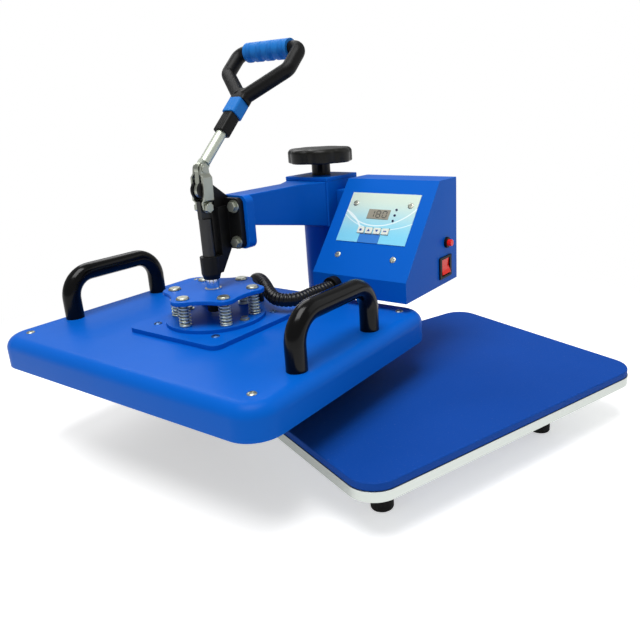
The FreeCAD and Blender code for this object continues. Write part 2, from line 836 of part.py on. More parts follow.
def make_casting():
    """The black casting that guides the plunger and carries the toggle's fixed pin, with its bolts."""
    middle = ("0", "flange_front", "(flange_low + flange_top) / 2")
    deep = "bracket_front - flange_front"
    flange = plate("flange", middle, ("flange_width", "flange_top - flange_low"), deep, "flange_corner",
                   along="y")
    barrel_low = "guide_low + guide_taper"
    guide = rod("guide", ("0", "0", barrel_low), "guide_radius", "guide_top - (%s)" % barrel_low)
    tip = cone("guide_tip", ("0", "0", "guide_low"), "guide_tip", "guide_radius", "guide_taper")
    web_side = [
        ("0", barrel_low), ("guide_radius - web_inset", barrel_low),
        ("flange_front", "flange_low"), ("flange_front", "rib_top"),
        ("rib_front", "rib_top"), ("rib_front", "guide_top"), ("0", "guide_top"),
    ]
    web = prism("web", "YZ_Plane", web_side, "-rib_width / 2", "rib_width")
    low_turn = "(wing_low_turn * 1 deg)"
    top_turn = "(wing_top_turn * 1 deg)"
    wing_side = [
        ("cheek_radius * cos" + low_turn, "pivot_height - cheek_radius * sin" + low_turn),
        ("rib_front", "rib_top - wing_root"), ("bracket_front", "rib_top - wing_drop"),
        ("bracket_front", "flange_top"),
        ("cheek_radius * cos" + top_turn, "pivot_height + cheek_radius * sin" + top_turn),
        ("0", "pivot_height"),
    ]
    cheeks = []
    for index, start in enumerate(("-cheek_inner - cheek_thick", "cheek_inner")):
        eye = rod("cheek_eye%d" % index, (start, "0", "pivot_height"), "cheek_radius", "cheek_thick", "x")
        wing = prism("cheek_wing%d" % index, "YZ_Plane", wing_side, start, "cheek_thick")
        cheeks += [eye, wing]
    bore = rod("guide_bore", ("0", "0", "guide_low"), "plunger_radius + running_gap", "guide_top - guide_low")
    eye_bore = rod("cheek_bore", ("-rib_width", "0", "pivot_height"), "pivot_pin", "2 * rib_width", "x")
    holes = [
        rod("flange_hole%d" % i, (x, "flange_front", z), "bolt_radius + screw_slack", deep, "y")
        for i, (x, z) in enumerate(flange_spots())
    ]
    casting = fuse("casting", flange, guide, tip, web, *cheeks)
    node("toggle_casting", ARM, cut("toggle_casting", casting, bore, eye_bore, *holes))
    bolts = []
    washer_front = "flange_front - flange_washer_thick"
    for index, (x, z) in enumerate(flange_spots()):
        spot = (x, washer_front, z)
        washer = rod("flange_washer%d" % index, spot, "flange_washer", "flange_washer_thick", "y")
        spot = (x, washer_front + " - flange_head_tall", z)
        head = hexagon("flange_bolt_head%d" % index, spot, "flange_head", "flange_head_tall", "y")
        spot = (x, "flange_front", z)
        shank = rod("flange_bolt_shank%d" % index, spot, "bolt_radius", deep + " + bracket_wall", "y")
        bolts.append(fuse("flange_bolt%d" % index, washer, head, shank))
    pin = rod("pivot_pin_bar", ("-cheek_inner - cheek_thick", "0", "pivot_height"), "pivot_pin",
              "2 * (cheek_inner + cheek_thick)", "x")
    node("casting_bolts", ARM, pin, *bolts)


def make_lever():
    """The hand lever: crank, rod, socket and ring."""
    knuckle = rod("knuckle", ("-knuckle_width / 2", "knuckle_y", "knuckle_height"), "knuckle_radius",
                  "knuckle_width", "x")
    eye = rod("tongue_eye", ("-tongue_width / 2", "0", "pivot_height"), "tongue_eye", "tongue_width", "x")
    tongue_side = [
        ("-tongue_half", "pivot_height"), ("tongue_half", "pivot_height"),
        ("knuckle_y + tongue_half", "knuckle_height"), ("knuckle_y - tongue_half", "knuckle_height"),
    ]
    tongue = prism("tongue", "YZ_Plane", tongue_side, "-tongue_width / 2", "tongue_width")
    bore = rod("crank_bore", ("-knuckle_width", "0", "pivot_height"), "pivot_pin + running_gap",
               "2 * knuckle_width", "x")
    node("lever_crank", ARM, cut("lever_crank", fuse("crank", knuckle, eye, tongue), bore))

    bar = rod("lever_rod_bar", ("0", "0", "rod_start"), "rod_radius", "rod_end - rod_start")
    neck = box("lever_rod_neck", ("-tongue_width / 2", "-rod_radius", "0"),
               ("tongue_width", "2 * rod_radius", "rod_start + rod_overlap"))
    hub = rod("lever_rod_hub", ("-knuckle_width", "0", "0"), "knuckle_radius", "2 * knuckle_width", "x")
    node("lever_rod", LEVER, cut("lever_rod", fuse("lever_rod_bar", bar, neck), hub))
    spot = ("0", "0", "socket_start")
    long = "ring_start - socket_start"
    socket = plate("grip_socket", spot, ("socket_width", "socket_width"), long, "socket_corner")
    hole = rod("grip_socket_hole", spot, "rod_radius", long)
    node("grip_socket", LEVER, cut("grip_socket", socket, hole))
    spot = ("0", "0", "ring_start")
    long = "fork_start - ring_start"
    ring = plate("grip_ring", spot, ("ring_width", "ring_width"), long, "ring_corner")
    hole = rod("grip_ring_hole", spot, "rod_radius", "rod_end - ring_start")
    node("grip_ring", LEVER, cut("grip_ring", ring, hole))


def make_grip():
    """The forked frame at the lever's end and the grooved grip across it."""
    block_size = ("fork_block_width", "fork_block_deep")
    block = plate("fork_block", ("0", "0", "fork_start"), block_size, "fork_block", "fork_block_corner")
    arms = []
    for index, side in enumerate((-1, 1)):
        points = [
            Vector(side * mm("fork_root"), 0, mm("fork_start") + mm("fork_tube")),
            Vector(side * mm("fork_half"), 0, mm("fork_shoulder")),
            Vector(side * mm("fork_half"), 0, mm("grip_along")),
            Vector(side * mm("grip_half"), 0, mm("grip_along")),
        ]
        path, _ = bent_path(points, mm("fork_bend"))
        arms.append(shaped("fork_arm%d" % index, sweep(path, mm("fork_tube"))))
    core = rod("grip_core_bar", ("-fork_half + fork_tube", "0", "grip_along"), "grip_core",
               "2 * (fork_half - fork_tube)", "x")
    node("grip_fork", LEVER, fuse("fork", block, core, *arms))
    length = "2 * (grip_half - screw_slack)"
    start = ("-grip_half + screw_slack", "0", "grip_along")
    sleeve = rod("grip_bar_sleeve", start, "grip_radius", length, "x")
    tools = [rod("grip_bar_bore", start, "grip_core", length, "x")]
    for index in range(GRIP_GROOVES):
        groove = doc.addObject("Part::Torus", "grip_groove%d" % index)
        bind(groove, Radius1="grip_groove_ring", Radius2="grip_groove")
        step = index - (GRIP_GROOVES - 1) / 2
        spot = ("grip_half * %g / 2" % step, "0", "grip_along + grip_groove_drop")
        tools.append(place(groove, spot, "x"))
    node("grip_bar", LEVER, cut("grip_bar", sleeve, *tools))


def make_links():
    """Two bowed plates from the knuckle down to the plunger, with their pins and the lower nuts."""
    far = "sqrt(knuckle_y ^ 2 + (knuckle_height - joint_height) ^ 2)"
    wide = "link_inner + link_bow"
    steps = [
        ("link_eye", "link_inner"), ("-link_narrow_top", "link_inner"), ("-link_wide_top", wide),
        ("-link_wide_low", wide), ("-link_narrow_low", "link_inner"),
        ("-(%s) - link_eye" % far, "link_inner"),
    ]
    edge = [
        ("link_eye", "0"), ("link_half", "-link_wide_top"),
        ("link_half", "-link_wide_low"), ("link_eye", "-(%s)" % far),
    ]
    silhouette = edge + [("-" + across, up) for across, up in reversed(edge)]
    run = "link_bow + link_thick"
    links = []
    studs = []
    for side, sign, start in (("left", "-", "-link_inner - link_bow - link_thick"),
                              ("right", "", "link_inner")):
        near = [("%s(%s)" % (sign, across), up) for up, across in steps]
        away = [("%s(%s + link_thick)" % (sign, across), up) for up, across in reversed(steps)]
        bowed = prism("link_bow_" + side, "XZ_Plane", near + away, "-link_half", "2 * link_half")
        web = prism("link_web_" + side, "YZ_Plane", silhouette, start, run)
        eyes = []
        holes = []
        for index, up in enumerate(("0", "-(%s)" % far)):
            eyes.append(rod("link_eye_%s%d" % (side, index), (start, "0", up), "link_eye", run, "x"))
            holes.append(rod("link_hole_%s%d" % (side, index), (start, "0", up), "pivot_pin", run, "x"))
        slot = fuse("link_slot_" + side, web, *eyes)
        common = doc.addObject("Part::MultiCommon", "link_common_" + side)
        common.Shapes = [bowed, slot]
        links.append(cut(side + "_link", common, *holes))
        pin_start = "link_inner" if side == "right" else "-link_inner - link_thick - link_pin_proud"
        stud_start = "link_inner" if side == "right" else "-link_inner - link_thick"
        nut_start = "link_inner + link_thick" if side == "right" else stud_start + " - link_nut_tall"
        long = "link_thick + link_pin_proud"
        studs.append(rod("link_pin_" + side, (pin_start, "0", "0"), "pivot_pin", long, "x"))
        low = "-(%s)" % far
        stud = rod("link_stud_" + side, (stud_start, "0", low), "pivot_pin", "link_thick", "x")
        nut = hexagon("link_nut_" + side, (nut_start, "0", low), "link_nut", "link_nut_tall", "x")
        studs.append(fuse("link_end_" + side, stud, nut))
    node("link_plates", LINK, *links)
    node("link_nuts", LINK, *studs)


def make_plunger():
    """The guided plunger with its head, washer and the six-lobed spring plate."""
    shaft = rod("shaft", ("0", "0", "plunger_low"), "plunger_radius", "plunger_rim - plunger_low")
    top = "plunger_low + spider_thick"
    washer = tube("plunger_washer", ("0", "0", top), "washer_radius", "plunger_radius", "washer_thick")
    node("plunger_shaft", ARM, shaft, washer)
    head = box("head", ("-plunger_head_width / 2", "-plunger_radius", "plunger_rim"),
               ("plunger_head_width", "2 * plunger_radius", "plunger_head_top - plunger_rim"))
    pin_start = ("-plunger_head_width / 2", "0", "joint_height")
    hole = rod("head_hole", pin_start, "pivot_pin", "plunger_head_width", "x")
    pin = rod("plunger_pin", pin_start, "pivot_pin", "plunger_head_width", "x")
    node("plunger_head", ARM, cut("plunger_head", head, hole), pin)
    disc = lobed_disc("spider_disc", SPRINGS, "spider", "plunger_low", "spider_thick", FIRST_SPRING)
    soften(disc, "spider_edge", True)
    soften(disc, "spider_edge", False)
    tools = [rod("spider_middle", ("0", "0", "plunger_low"), "plunger_radius", "spider_thick")]
    for index in range(SPRINGS):
        x, y = around("spider_pitch", SPRINGS, index)
        spot = (x, y, "plunger_low")
        tools.append(rod("spider_hole%d" % index, spot, "bolt_radius + running_gap", "spider_thick"))
    node("spider_plate", ARM, cut("spider_plate", disc, *tools))
    node("pressure_core", ARM, rod("core", ("0", "0", "plunger_low - core_tall"), "core_radius", "core_tall"))


def make_heater():
    """The heating plate with its pillars, the element, the sensor and the insulation."""
    inset = "2 * heater_inset"
    size = ("platen_length - " + inset, "platen_width - " + inset)
    corner = "cover_corner - heater_inset"
    pillars = corners_of("square_screw", "square_screw") + corners_of("cover_screw_x", "cover_screw_y")
    heater_top = "heater_low + heater_thick"
    slab = plate("heating_plate", ("0", "0", "heater_low"), size, "heater_thick", corner)
    tall = "cover_top - cover_wall - heater_low - heater_thick"
    posts = [
        rod("pillar%d" % i, (x, y, heater_top), "pillar_radius", tall)
        for i, (x, y) in enumerate(pillars)
    ]
    node("heating_plate", ARM, fuse("heating_plate", slab, *posts))
    reach = mm("element_reach")
    rows = [mm("element_step") * (index - (ELEMENT_ROWS - 1) / 2) for index in range(ELEMENT_ROWS)]
    height = mm("heater_low") + mm("heater_thick") + mm("element_radius")
    points = [Vector(-reach, rows[0], height)]
    for index, y in enumerate(rows):
        side = 1 if index % 2 == 0 else -1
        points.append(Vector(side * reach, y, height))
        if index + 1 < len(rows):
            points.append(Vector(side * reach, rows[index + 1], height))
    path, _ = bent_path(points, mm("element_bend"))
    sensor_start = ("-sensor_long / 2", "element_step", heater_top + " + sensor_radius")
    sensor = rod("temperature_sensor", sensor_start, "sensor_radius", "sensor_long", "x")
    node("heating_element", ARM, shaped("element_tube", sweep(path, mm("element_radius"))), sensor)
    board = plate("insulation_board", ("0", "0", "insulation_low"), size, "insulation_thick", corner)
    holes = [
        rod("board_hole%d" % i, (x, y, "insulation_low"), "pillar_radius + screw_slack", "insulation_thick")
        for i, (x, y) in enumerate(pillars)
    ]
    node("insulation", ARM, cut("insulation", board, *holes))


def make_cover():
    """The heated platen's cover, the square plate, their screws, the side handles and the hose's gland."""
    square_spots = corners_of("square_screw", "square_screw")
    cover_spots = corners_of("cover_screw_x", "cover_screw_y")
    spot = ("0", "0", "cover_low")
    size = ("platen_length", "platen_width")
    tall = "cover_top - cover_low"
    outer = plate("cover_outer", spot, size, tall, "cover_corner", "cover_edge")
    inner_size = ("platen_length - 2 * cover_wall", "platen_width - 2 * cover_wall")
    inner = plate("cover_inner", spot, inner_size, tall + " - cover_wall",
                  "cover_corner - cover_wall", "cover_edge - cover_wall")
    hose_hole = rod("cover_hose_hole", ("gland_x", "gland_y", "cover_low"), "gland_bore", tall)
    sheet_low = "cover_top - cover_wall"
    slack = "screw_radius + screw_slack"
    holes = [
        rod("cover_hole%d" % i, (x, y, sheet_low), slack, "cover_wall")
        for i, (x, y) in enumerate(square_spots + cover_spots)
    ]
    node("platen_cover", ARM, cut("platen_cover", outer, inner, hose_hole, *holes))
    spot = ("0", "0", "cover_top")
    square = plate("square", spot, ("square_size", "square_size"), "square_thick", "square_corner")
    disc_low = "cover_top + square_thick"
    disc_top = disc_low + " + disc_thick"
    holes = [
        rod("square_hole%d" % i, (x, y, "cover_top"), slack, "square_thick")
        for i, (x, y) in enumerate(square_spots)
    ]
    screws = []
    for spots, name, top in ((cover_spots, "cover_screw", "cover_top"),
                             (square_spots, "square_screw", disc_low)):
        for index, (x, y) in enumerate(spots):
            head = rod("%s_head%d" % (name, index), (x, y, top), "screw_head", "screw_head_tall")
            long = "%s - (%s)" % (top, sheet_low)
            shank = rod("%s_shank%d" % (name, index), (x, y, sheet_low), "screw_radius", long)
            screws.append(fuse("%s%d" % (name, index), head, shank))
    bolt_holes = []
    for index in range(DISC_BOLTS):
        x, y = around("spider_pitch", DISC_BOLTS, index, 0)
        low = disc_top + " - disc_bolt_long"
        washer = rod("disc_washer%d" % index, (x, y, disc_top), "disc_washer", "disc_washer_thick")
        spot = (x, y, disc_top + " + disc_washer_thick")
        head = hexagon("disc_bolt_head%d" % index, spot, "disc_bolt_head", "disc_bolt_tall")
        shank = rod("disc_bolt_shank%d" % index, (x, y, low), "disc_bolt_radius", "disc_bolt_long")
        hole = rod("disc_bolt_hole%d" % index, (x, y, low), "disc_bolt_radius", "disc_bolt_long")
        bolt_holes.append(hole)
        screws.append(fuse("disc_bolt%d" % index, washer, head, shank))
    node("square_plate", ARM, cut("square_plate", square, *holes, *bolt_holes))
    node("platen_screws", ARM, *screws)
    disc = rod("bearing_disc_bar", ("0", "0", disc_low), "disc_radius", "disc_thick")
    for index in range(SPRINGS):
        x, y = around("spider_pitch", SPRINGS, index)
        bolt_holes.append(rod("disc_hole%d" % index, (x, y, disc_low), "bolt_radius", "disc_thick"))
    node("bearing_disc", ARM, cut("bearing_disc", disc, *bolt_holes))
    spot = ("gland_x", "gland_y", "cover_top")
    node("platen_gland", ARM, tube("platen_gland", spot, "gland_radius", "gland_bore", "gland_tall"))
    grabs = []
    for side, across in (("left", -mm("grab_x")), ("right", mm("grab_x"))):
        points = [
            Vector(across, mm("grab_front"), mm("cover_top")),
            Vector(across, mm("grab_front"), mm("grab_height")),
            Vector(across, mm("grab_rear"), mm("grab_height")),
            Vector(across, mm("grab_rear"), mm("cover_top")),
        ]
        path, _ = bent_path(points, mm("grab_bend"))
        skin = shaped("grab_skin_" + side, sweep(path, mm("grab_tube")))
        hollow = shaped("grab_hollow_" + side, sweep(path, mm("grab_tube") - mm("grab_wall")))
        grabs.append(cut("grab_" + side, skin, hollow))
    node("grab_handles", ARM, *grabs)


def make_springs():
    """The six bolts that hang the platen on the spring plate, and the springs round them."""
    disc_low = "cover_top + square_thick"
    head_low = "plunger_low + spider_thick + running_gap"
    wire = mm("spring_wire")
    coil_low = mm("cover_top") + mm("square_thick") + mm("disc_thick") + wire
    rise = mm("plunger_low") - wire - coil_low
    helix = Part.makeHelix(rise / mm("spring_turns"), rise, mm("spring_radius"))
    ring = Part.Wire(Part.makeCircle(wire, Vector(mm("spring_radius"), 0, 0), Vector(0, 1, 0)))
    coil = Part.Wire(helix.Edges).makePipeShell([ring], True, True)
    bolts = []
    springs = []
    for index in range(SPRINGS):
        x, y = around("spider_pitch", SPRINGS, index)
        name = "spring_bolt_head%d" % index
        head = cone(name, (x, y, head_low), "spring_bolt_head", "spring_bolt_top", "spring_bolt_tall")
        long = "%s - (%s)" % (head_low, disc_low)
        shank = rod("spring_bolt_shank%d" % index, (x, y, disc_low), "bolt_radius", long)
        bolts.append(fuse("spring_bolt%d" % index, head, shank))
        spring = shaped("spring%d" % index, coil)
        springs.append(place(spring, (x, y, disc_low + " + disc_thick + spring_wire")))
    node("spring_bolts", ARM, *bolts)
    node("coil_springs", ARM, *springs)


def make_hose():
    """The corrugated hose from the heated platen to the control box, as a plain tube on its real route."""
    path, smallest = bent_path([Vector(*point) for point in HOSE_ROUTE])
    hose = sweep(path, mm("hose_radius"))
    section = math.pi * mm("hose_radius") ** 2
    ratio = hose.Volume / section / path.Length
    print("hose length %.1f, smallest radius %.1f, volume ratio %.4f" % (path.Length, smallest, ratio))
    node("heater_hose", ARM, shaped("hose_tube", hose))


def panel_tools():
    """Blocks and bars for every opening of the panel, in the panel's own frame."""
    corner = ("display_x - display_width / 2", "display_y - display_height / 2", "-2 * box_wall")
    tools = [box("display_hole", corner, ("display_width", "display_height", "4 * box_wall"))]
    for index, (x, y) in enumerate(lamp_spots()):
        tools.append(rod("lamp_hole%d" % index, (x, y, "-2 * box_wall"), "lamp_radius", "4 * box_wall"))
    for index, (x, y) in enumerate(key_spots()):
        corner = (x + " - button_width / 2 - button_gap", y + " - button_height / 2 - button_gap",
                  "-2 * box_wall")
        extent = ("button_width + 2 * button_gap", "button_height + 2 * button_gap", "4 * box_wall")
        tools.append(box("button_hole%d" % index, corner, extent))
    return tools


def lamp_spots():
    """The places of the three lamps on the panel."""
    return [("lamp_x", "lamp_top - %d * lamp_step" % index) for index in range(LAMPS)]


def key_spots():
    """The places of the four keys on the panel."""
    return [("button_x + %d * button_step" % index, "button_y") for index in range(KEYS)]


def gathered(name, pieces, frame):
    """Pieces taken together and placed in another frame."""
    obj = doc.addObject("Part::Compound", name)
    obj.Links = list(pieces)
    obj.Placement = frame
    return obj


def make_box_shell(openings):
    """The sloped shell, its back cover, and the block that joins it to the sleeve."""
    wide = "box_right - box_left"
    profile = [
        ("box_front", "box_low"), ("box_back", "box_low"), ("box_back", "box_top"),
        ("box_ridge", "box_top"), ("box_front", "box_lip"),
    ]
    inner_profile = [
        ("box_front + box_wall", "box_low + box_wall"), ("box_back", "box_low + box_wall"),
        ("box_back", "box_top - box_wall"), ("box_ridge + ridge_ease", "box_top - box_wall"),
        ("box_front + box_wall", "box_lip - lip_ease"),
    ]
    skin = prism("box_skin", "YZ_Plane", profile, "box_left", wide)
    hollow = prism("box_hollow", "YZ_Plane", inner_profile, "box_left + box_wall", wide + " - 2 * box_wall")
    out = "box_right - box_wall"
    tools = [
        hollow,
        gathered("shell_openings", openings, PANEL_PLACE),
        rod("lip_hole", ("box_gland_x", "box_front", "box_gland_height"), "hose_radius", "box_wall", "y"),
        box("switch_hole", (out, SWITCH_LOW[0], SWITCH_LOW[1]), ("box_wall", SWITCH_SIZE[0], SWITCH_SIZE[1])),
        rod("breaker_hole", (out, "breaker_y", "breaker_height"), "breaker_radius", "box_wall", "x"),
    ]
    node("control_box_shell", ARM, cut("control_box_shell", skin, *tools))

    back = box("back_sheet", ("box_left", "box_back", "box_low"), (wide, "box_wall", "box_top - box_low"))
    corner = (BOX_MIDDLE + " - inlet_width / 2 + inlet_rim", "box_back",
              "inlet_z - inlet_height / 2 + inlet_rim")
    extent = ("inlet_width - 2 * inlet_rim", "box_wall", "inlet_height - 2 * inlet_rim")
    inlet_hole = box("inlet_hole", corner, extent)
    node("control_box_back", ARM, cut("control_box_back", back, inlet_hole))

    extent = ("box_left - sleeve_half", "mount_rear - mount_front", "mount_top - mount_low")
    mount = box("mount_block", ("sleeve_half", "mount_front", "mount_low"), extent)
    node("box_bracket", ARM, mount)
    spot = ("box_gland_x", "box_front - box_gland_long", "box_gland_height")
    gland = tube("box_gland", spot, "gland_radius", "hose_radius", "box_gland_long", "y")
    node("box_gland", ARM, gland)


def make_panel(openings):
    """The printed film, display, lamps, keys and screws of the sloped face, and the board under them."""
    overlay = box("overlay_sheet", ("-overlay_width / 2", "overlay_low", "0"),
                  ("overlay_width", "overlay_high - overlay_low", "overlay_thick"))
    film_openings = gathered("overlay_openings", openings, Placement())
    node("panel_overlay", PANEL, cut("panel_overlay", overlay, film_openings))
    corner = ("display_x - display_width / 2", "display_y - display_height / 2", "-box_wall")
    extent = ("display_width", "display_height", "box_wall + display_thick")
    node("display_window", PANEL, box("display_block", corner, extent))
    lamps = [
        rod("lamp%d" % index, (x, y, "-box_wall"), "lamp_radius", "box_wall + lamp_tall")
        for index, (x, y) in enumerate(lamp_spots())
    ]
    node("panel_lamps", PANEL, *lamps)
    for index, (x, y) in enumerate(key_spots()):
        cap = plate("cap%d" % index, (x, y, "-button_deep"), ("button_width", "button_height"),
                    "button_deep + button_tall", "button_corner")
        node("panel_button_%d" % (index + 1), PANEL, cap)

    back_spots = [
        (x, z) for x in ("box_left + back_screw_inset", "box_right - back_screw_inset")
        for z in ("box_low + back_screw_inset", "box_top - back_screw_inset")
    ]
    back_screws = [
        rod("back_screw%d" % index, (x, "box_back + box_wall", z), "screw_head", "screw_head_tall", "y")
        for index, (x, z) in enumerate(back_spots)
    ]
    heads = [gathered("back_screws", back_screws, PANEL_PLACE.inverse())]
    for name, height, low in (("low", "panel_screw_low", "0"), ("top", "panel_screw_top", "overlay_thick")):
        for index, sign in enumerate(("-", "")):
            spot = (sign + "panel_screw_x", height, low)
            screw = rod("panel_screw_%s%d" % (name, index), spot, "panel_screw_head", "panel_screw_tall")
            heads.append(screw)
    node("box_screws", PANEL, *heads)

    board = box("board", ("-overlay_width / 2", "panel_screw_low", "-board_gap"),
                ("overlay_width", "overlay_high - panel_screw_low", "board_thick"))
    size = "transformer_size"
    corner = ("box_left + transformer_side", "box_back - transformer_size - transformer_back",
              "box_low + box_wall")
    core = box("transformer_core", corner, (size, size, size))
    node("control_board", PANEL, board, gathered("transformer", [core], PANEL_PLACE.inverse()))


def make_switches():
    """The rocker switch, the breaker with its button, and the power inlet."""
    corner = ("box_right", "switch_y - switch_width / 2", "switch_height - switch_tall / 2")
    bezel = box("switch_bezel", corner, ("switch_lip", "switch_width", "switch_tall"))
    housing = box("switch_housing", ("box_right - switch_deep", SWITCH_LOW[0], SWITCH_LOW[1]),
                  ("switch_deep", SWITCH_SIZE[0], SWITCH_SIZE[1]))
    half_mouth = "(rocker_width / 2 + button_gap)"
    corner = ("box_right - switch_mouth_deep", "switch_y - " + half_mouth, "switch_height - switch_mouth")
    extent = ("switch_mouth_deep + switch_lip", "2 * " + half_mouth, "2 * switch_mouth")
    mouth = box("switch_mouth_space", corner, extent)
    reach = "(rocker_pin_out + screw_slack)"
    spot = ("box_right - rocker_pivot", "switch_y - rocker_width / 2 - " + reach, "switch_height")
    trunnion_hole = rod("trunnion_hole", spot, "rocker_pin + running_gap",
                        "rocker_width + 2 * " + reach, "y")
    shell = fuse("switch_shell", bezel, housing)
    node("rocker_housing", ARM, cut("rocker_housing", shell, mouth, trunnion_hole))
    upper = [
        ("-rocker_back", "rocker_root"), ("rocker_shoulder", "rocker_reach"), ("rocker_rise", "rocker_reach"),
        ("rocker_dip", "0"),
    ]
    lower = [(across, "-" + up) for across, up in reversed(upper[:-1])]
    rocker = prism("rocker", "XZ_Plane", upper + lower, "-rocker_width / 2", "rocker_width")
    spot = ("0", "-rocker_width / 2 - rocker_pin_out", "0")
    trunnion = rod("trunnion", spot, "rocker_pin", "rocker_width + 2 * rocker_pin_out", "y")
    pivot = Vector(mm("box_right") - mm("rocker_pivot"), mm("switch_y"), mm("switch_height"))
    tilt = Placement(pivot, Rotation(Vector(0, 1, 0), -mm("rocker_tilt")))
    node("rocker_switch", ARM * tilt, fuse("rocker_and_pins", rocker, trunnion))

    long = "breaker_deep + breaker_lip"
    spot = ("box_right - breaker_deep", "breaker_y", "breaker_height")
    bar = rod("breaker_bar", spot, "breaker_radius", long, "x")
    spot = ("box_right - breaker_deep + breaker_floor", "breaker_y", "breaker_height")
    bore = rod("breaker_bore", spot, "reset_radius + running_gap", long + " - breaker_floor", "x")
    node("breaker", ARM, cut("breaker", bar, bore))
    spot = ("box_right - reset_in", "breaker_y", "breaker_height")
    node("reset_button", ARM, rod("reset_bar", spot, "reset_radius", "reset_in + reset_out", "x"))

    lip_low = "box_back + box_wall"
    outer = lip_low + " + inlet_lip"
    corner = (BOX_MIDDLE + " - inlet_width / 2", lip_low, "inlet_z - inlet_height / 2")
    lip = box("inlet_lip_block", corner, ("inlet_width", "inlet_lip", "inlet_height"))
    corner = (BOX_MIDDLE + " - inlet_width / 2 + inlet_rim", outer + " - inlet_deep",
              "inlet_z - inlet_height / 2 + inlet_rim")
    extent = ("inlet_width - 2 * inlet_rim", "inlet_deep", "inlet_height - 2 * inlet_rim")
    body = box("inlet_block", corner, extent)
    floor = outer + " - inlet_mouth_deep"
    corner = (BOX_MIDDLE + " - inlet_mouth_width / 2", floor, "inlet_z - inlet_mouth_height / 2")
    extent = ("inlet_mouth_width", "inlet_mouth_deep", "inlet_mouth_height")
    mouth = box("inlet_mouth", corner, extent)
    pins = []
    for index in range(INLET_PINS):
        across = BOX_MIDDLE + " + %d * pin_step - pin_wide / 2" % (index - INLET_PINS // 2)
        corner = (across, floor, "inlet_z - pin_tall / 2")
        pins.append(box("inlet_pin%d" % index, corner, ("pin_wide", "pin_long", "pin_tall")))
    node("power_inlet", ARM, cut("power_inlet", fuse("inlet", lip, body), mouth), *pins)


make_rails()
make_base()
make_column()
make_arm()
make_casting()
make_lever()
make_grip()
make_links()
make_plunger()
make_heater()
make_cover()
make_springs()
make_hose()
panel_openings = panel_tools()
make_box_shell(panel_openings)
make_panel(panel_openings)
make_switches()
doc.recompute()

faults = [obj.Name for obj in doc.Objects if "Invalid" in obj.State or "Error" in obj.State]
for obj in nodes:
    if obj.Shape.isNull() or not obj.Shape.isValid() or not obj.Shape.Solids:
        faults.append(obj.Label)
if faults:
    raise SystemExit("these objects did not come out: " + ", ".join(faults))
os.makedirs("parts", exist_ok=True)
whole = FreeCAD.BoundBox()
for obj in nodes:
    shape = obj.Shape
    if len(shape.Solids) == 1:
        shape = shape.Solids[0]
    shape.exportStep(os.path.join("parts", obj.Label + ".step"))
    whole.add(obj.Shape.BoundBox)
print("%d pieces, box %s" % (len(nodes), whole))
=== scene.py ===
"""Looks of the swing-away heat press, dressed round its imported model."""
import json
import logging
import math
from collections.abc import Sequence
from dataclasses import dataclass
from enum import Enum

import bmesh
import bpy
from mathutils import Matrix, Vector

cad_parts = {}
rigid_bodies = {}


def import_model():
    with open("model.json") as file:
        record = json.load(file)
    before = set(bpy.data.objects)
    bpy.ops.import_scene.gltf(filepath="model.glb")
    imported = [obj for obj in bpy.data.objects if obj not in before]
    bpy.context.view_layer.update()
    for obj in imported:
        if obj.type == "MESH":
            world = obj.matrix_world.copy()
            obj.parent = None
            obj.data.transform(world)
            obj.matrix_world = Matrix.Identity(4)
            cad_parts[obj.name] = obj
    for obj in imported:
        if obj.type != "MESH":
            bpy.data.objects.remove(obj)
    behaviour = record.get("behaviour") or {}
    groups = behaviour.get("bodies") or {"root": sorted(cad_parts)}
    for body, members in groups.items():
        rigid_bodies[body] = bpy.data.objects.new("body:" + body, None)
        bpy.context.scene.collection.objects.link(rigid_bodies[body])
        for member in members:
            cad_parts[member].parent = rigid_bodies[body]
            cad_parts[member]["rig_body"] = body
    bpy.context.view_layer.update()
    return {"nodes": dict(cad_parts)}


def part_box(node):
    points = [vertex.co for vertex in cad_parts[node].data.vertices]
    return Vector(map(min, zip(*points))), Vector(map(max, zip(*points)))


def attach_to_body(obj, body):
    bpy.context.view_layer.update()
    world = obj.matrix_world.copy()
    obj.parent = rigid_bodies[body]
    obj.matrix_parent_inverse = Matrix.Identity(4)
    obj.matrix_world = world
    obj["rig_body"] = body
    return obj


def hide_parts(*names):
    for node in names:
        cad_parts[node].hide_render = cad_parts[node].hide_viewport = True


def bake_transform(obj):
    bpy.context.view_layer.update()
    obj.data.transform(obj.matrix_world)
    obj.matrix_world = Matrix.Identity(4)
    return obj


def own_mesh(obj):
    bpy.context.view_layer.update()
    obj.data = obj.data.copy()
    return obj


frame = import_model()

log = logging.getLogger("heat_press")
MM = 0.001
MERGE_WITHIN = 0.004 * MM
FLAT_ANGLE = math.radians(0.6)
EASED_ANGLE = math.radians(38)
SHELL_ANGLE = math.radians(32)
HEAD_ANGLE = math.radians(34)
COAT_ROUGHNESS = 0.1
Colour = tuple[float, float, float]
Point = tuple[float, float, float]
Outline = Sequence[tuple[float, float]]
Sizes = dict[str, float]


def turn(degrees: float, axis: str) -> Matrix:
    """A turn about one axis, in degrees."""
    return Matrix.Rotation(math.radians(degrees), 4, axis)


def shift(x: float = 0.0, y: float = 0.0, z: float = 0.0) -> Matrix:
    """A move, in the units of the frame that it is used in."""
    return Matrix.Translation((x, y, z))


def grey(tone: float) -> Colour:
    """An even grey."""
    return (tone, tone, tone)


def rgba(colour: Colour) -> tuple[float, float, float, float]:
    """A colour with full alpha."""
    return (*colour, 1.0)


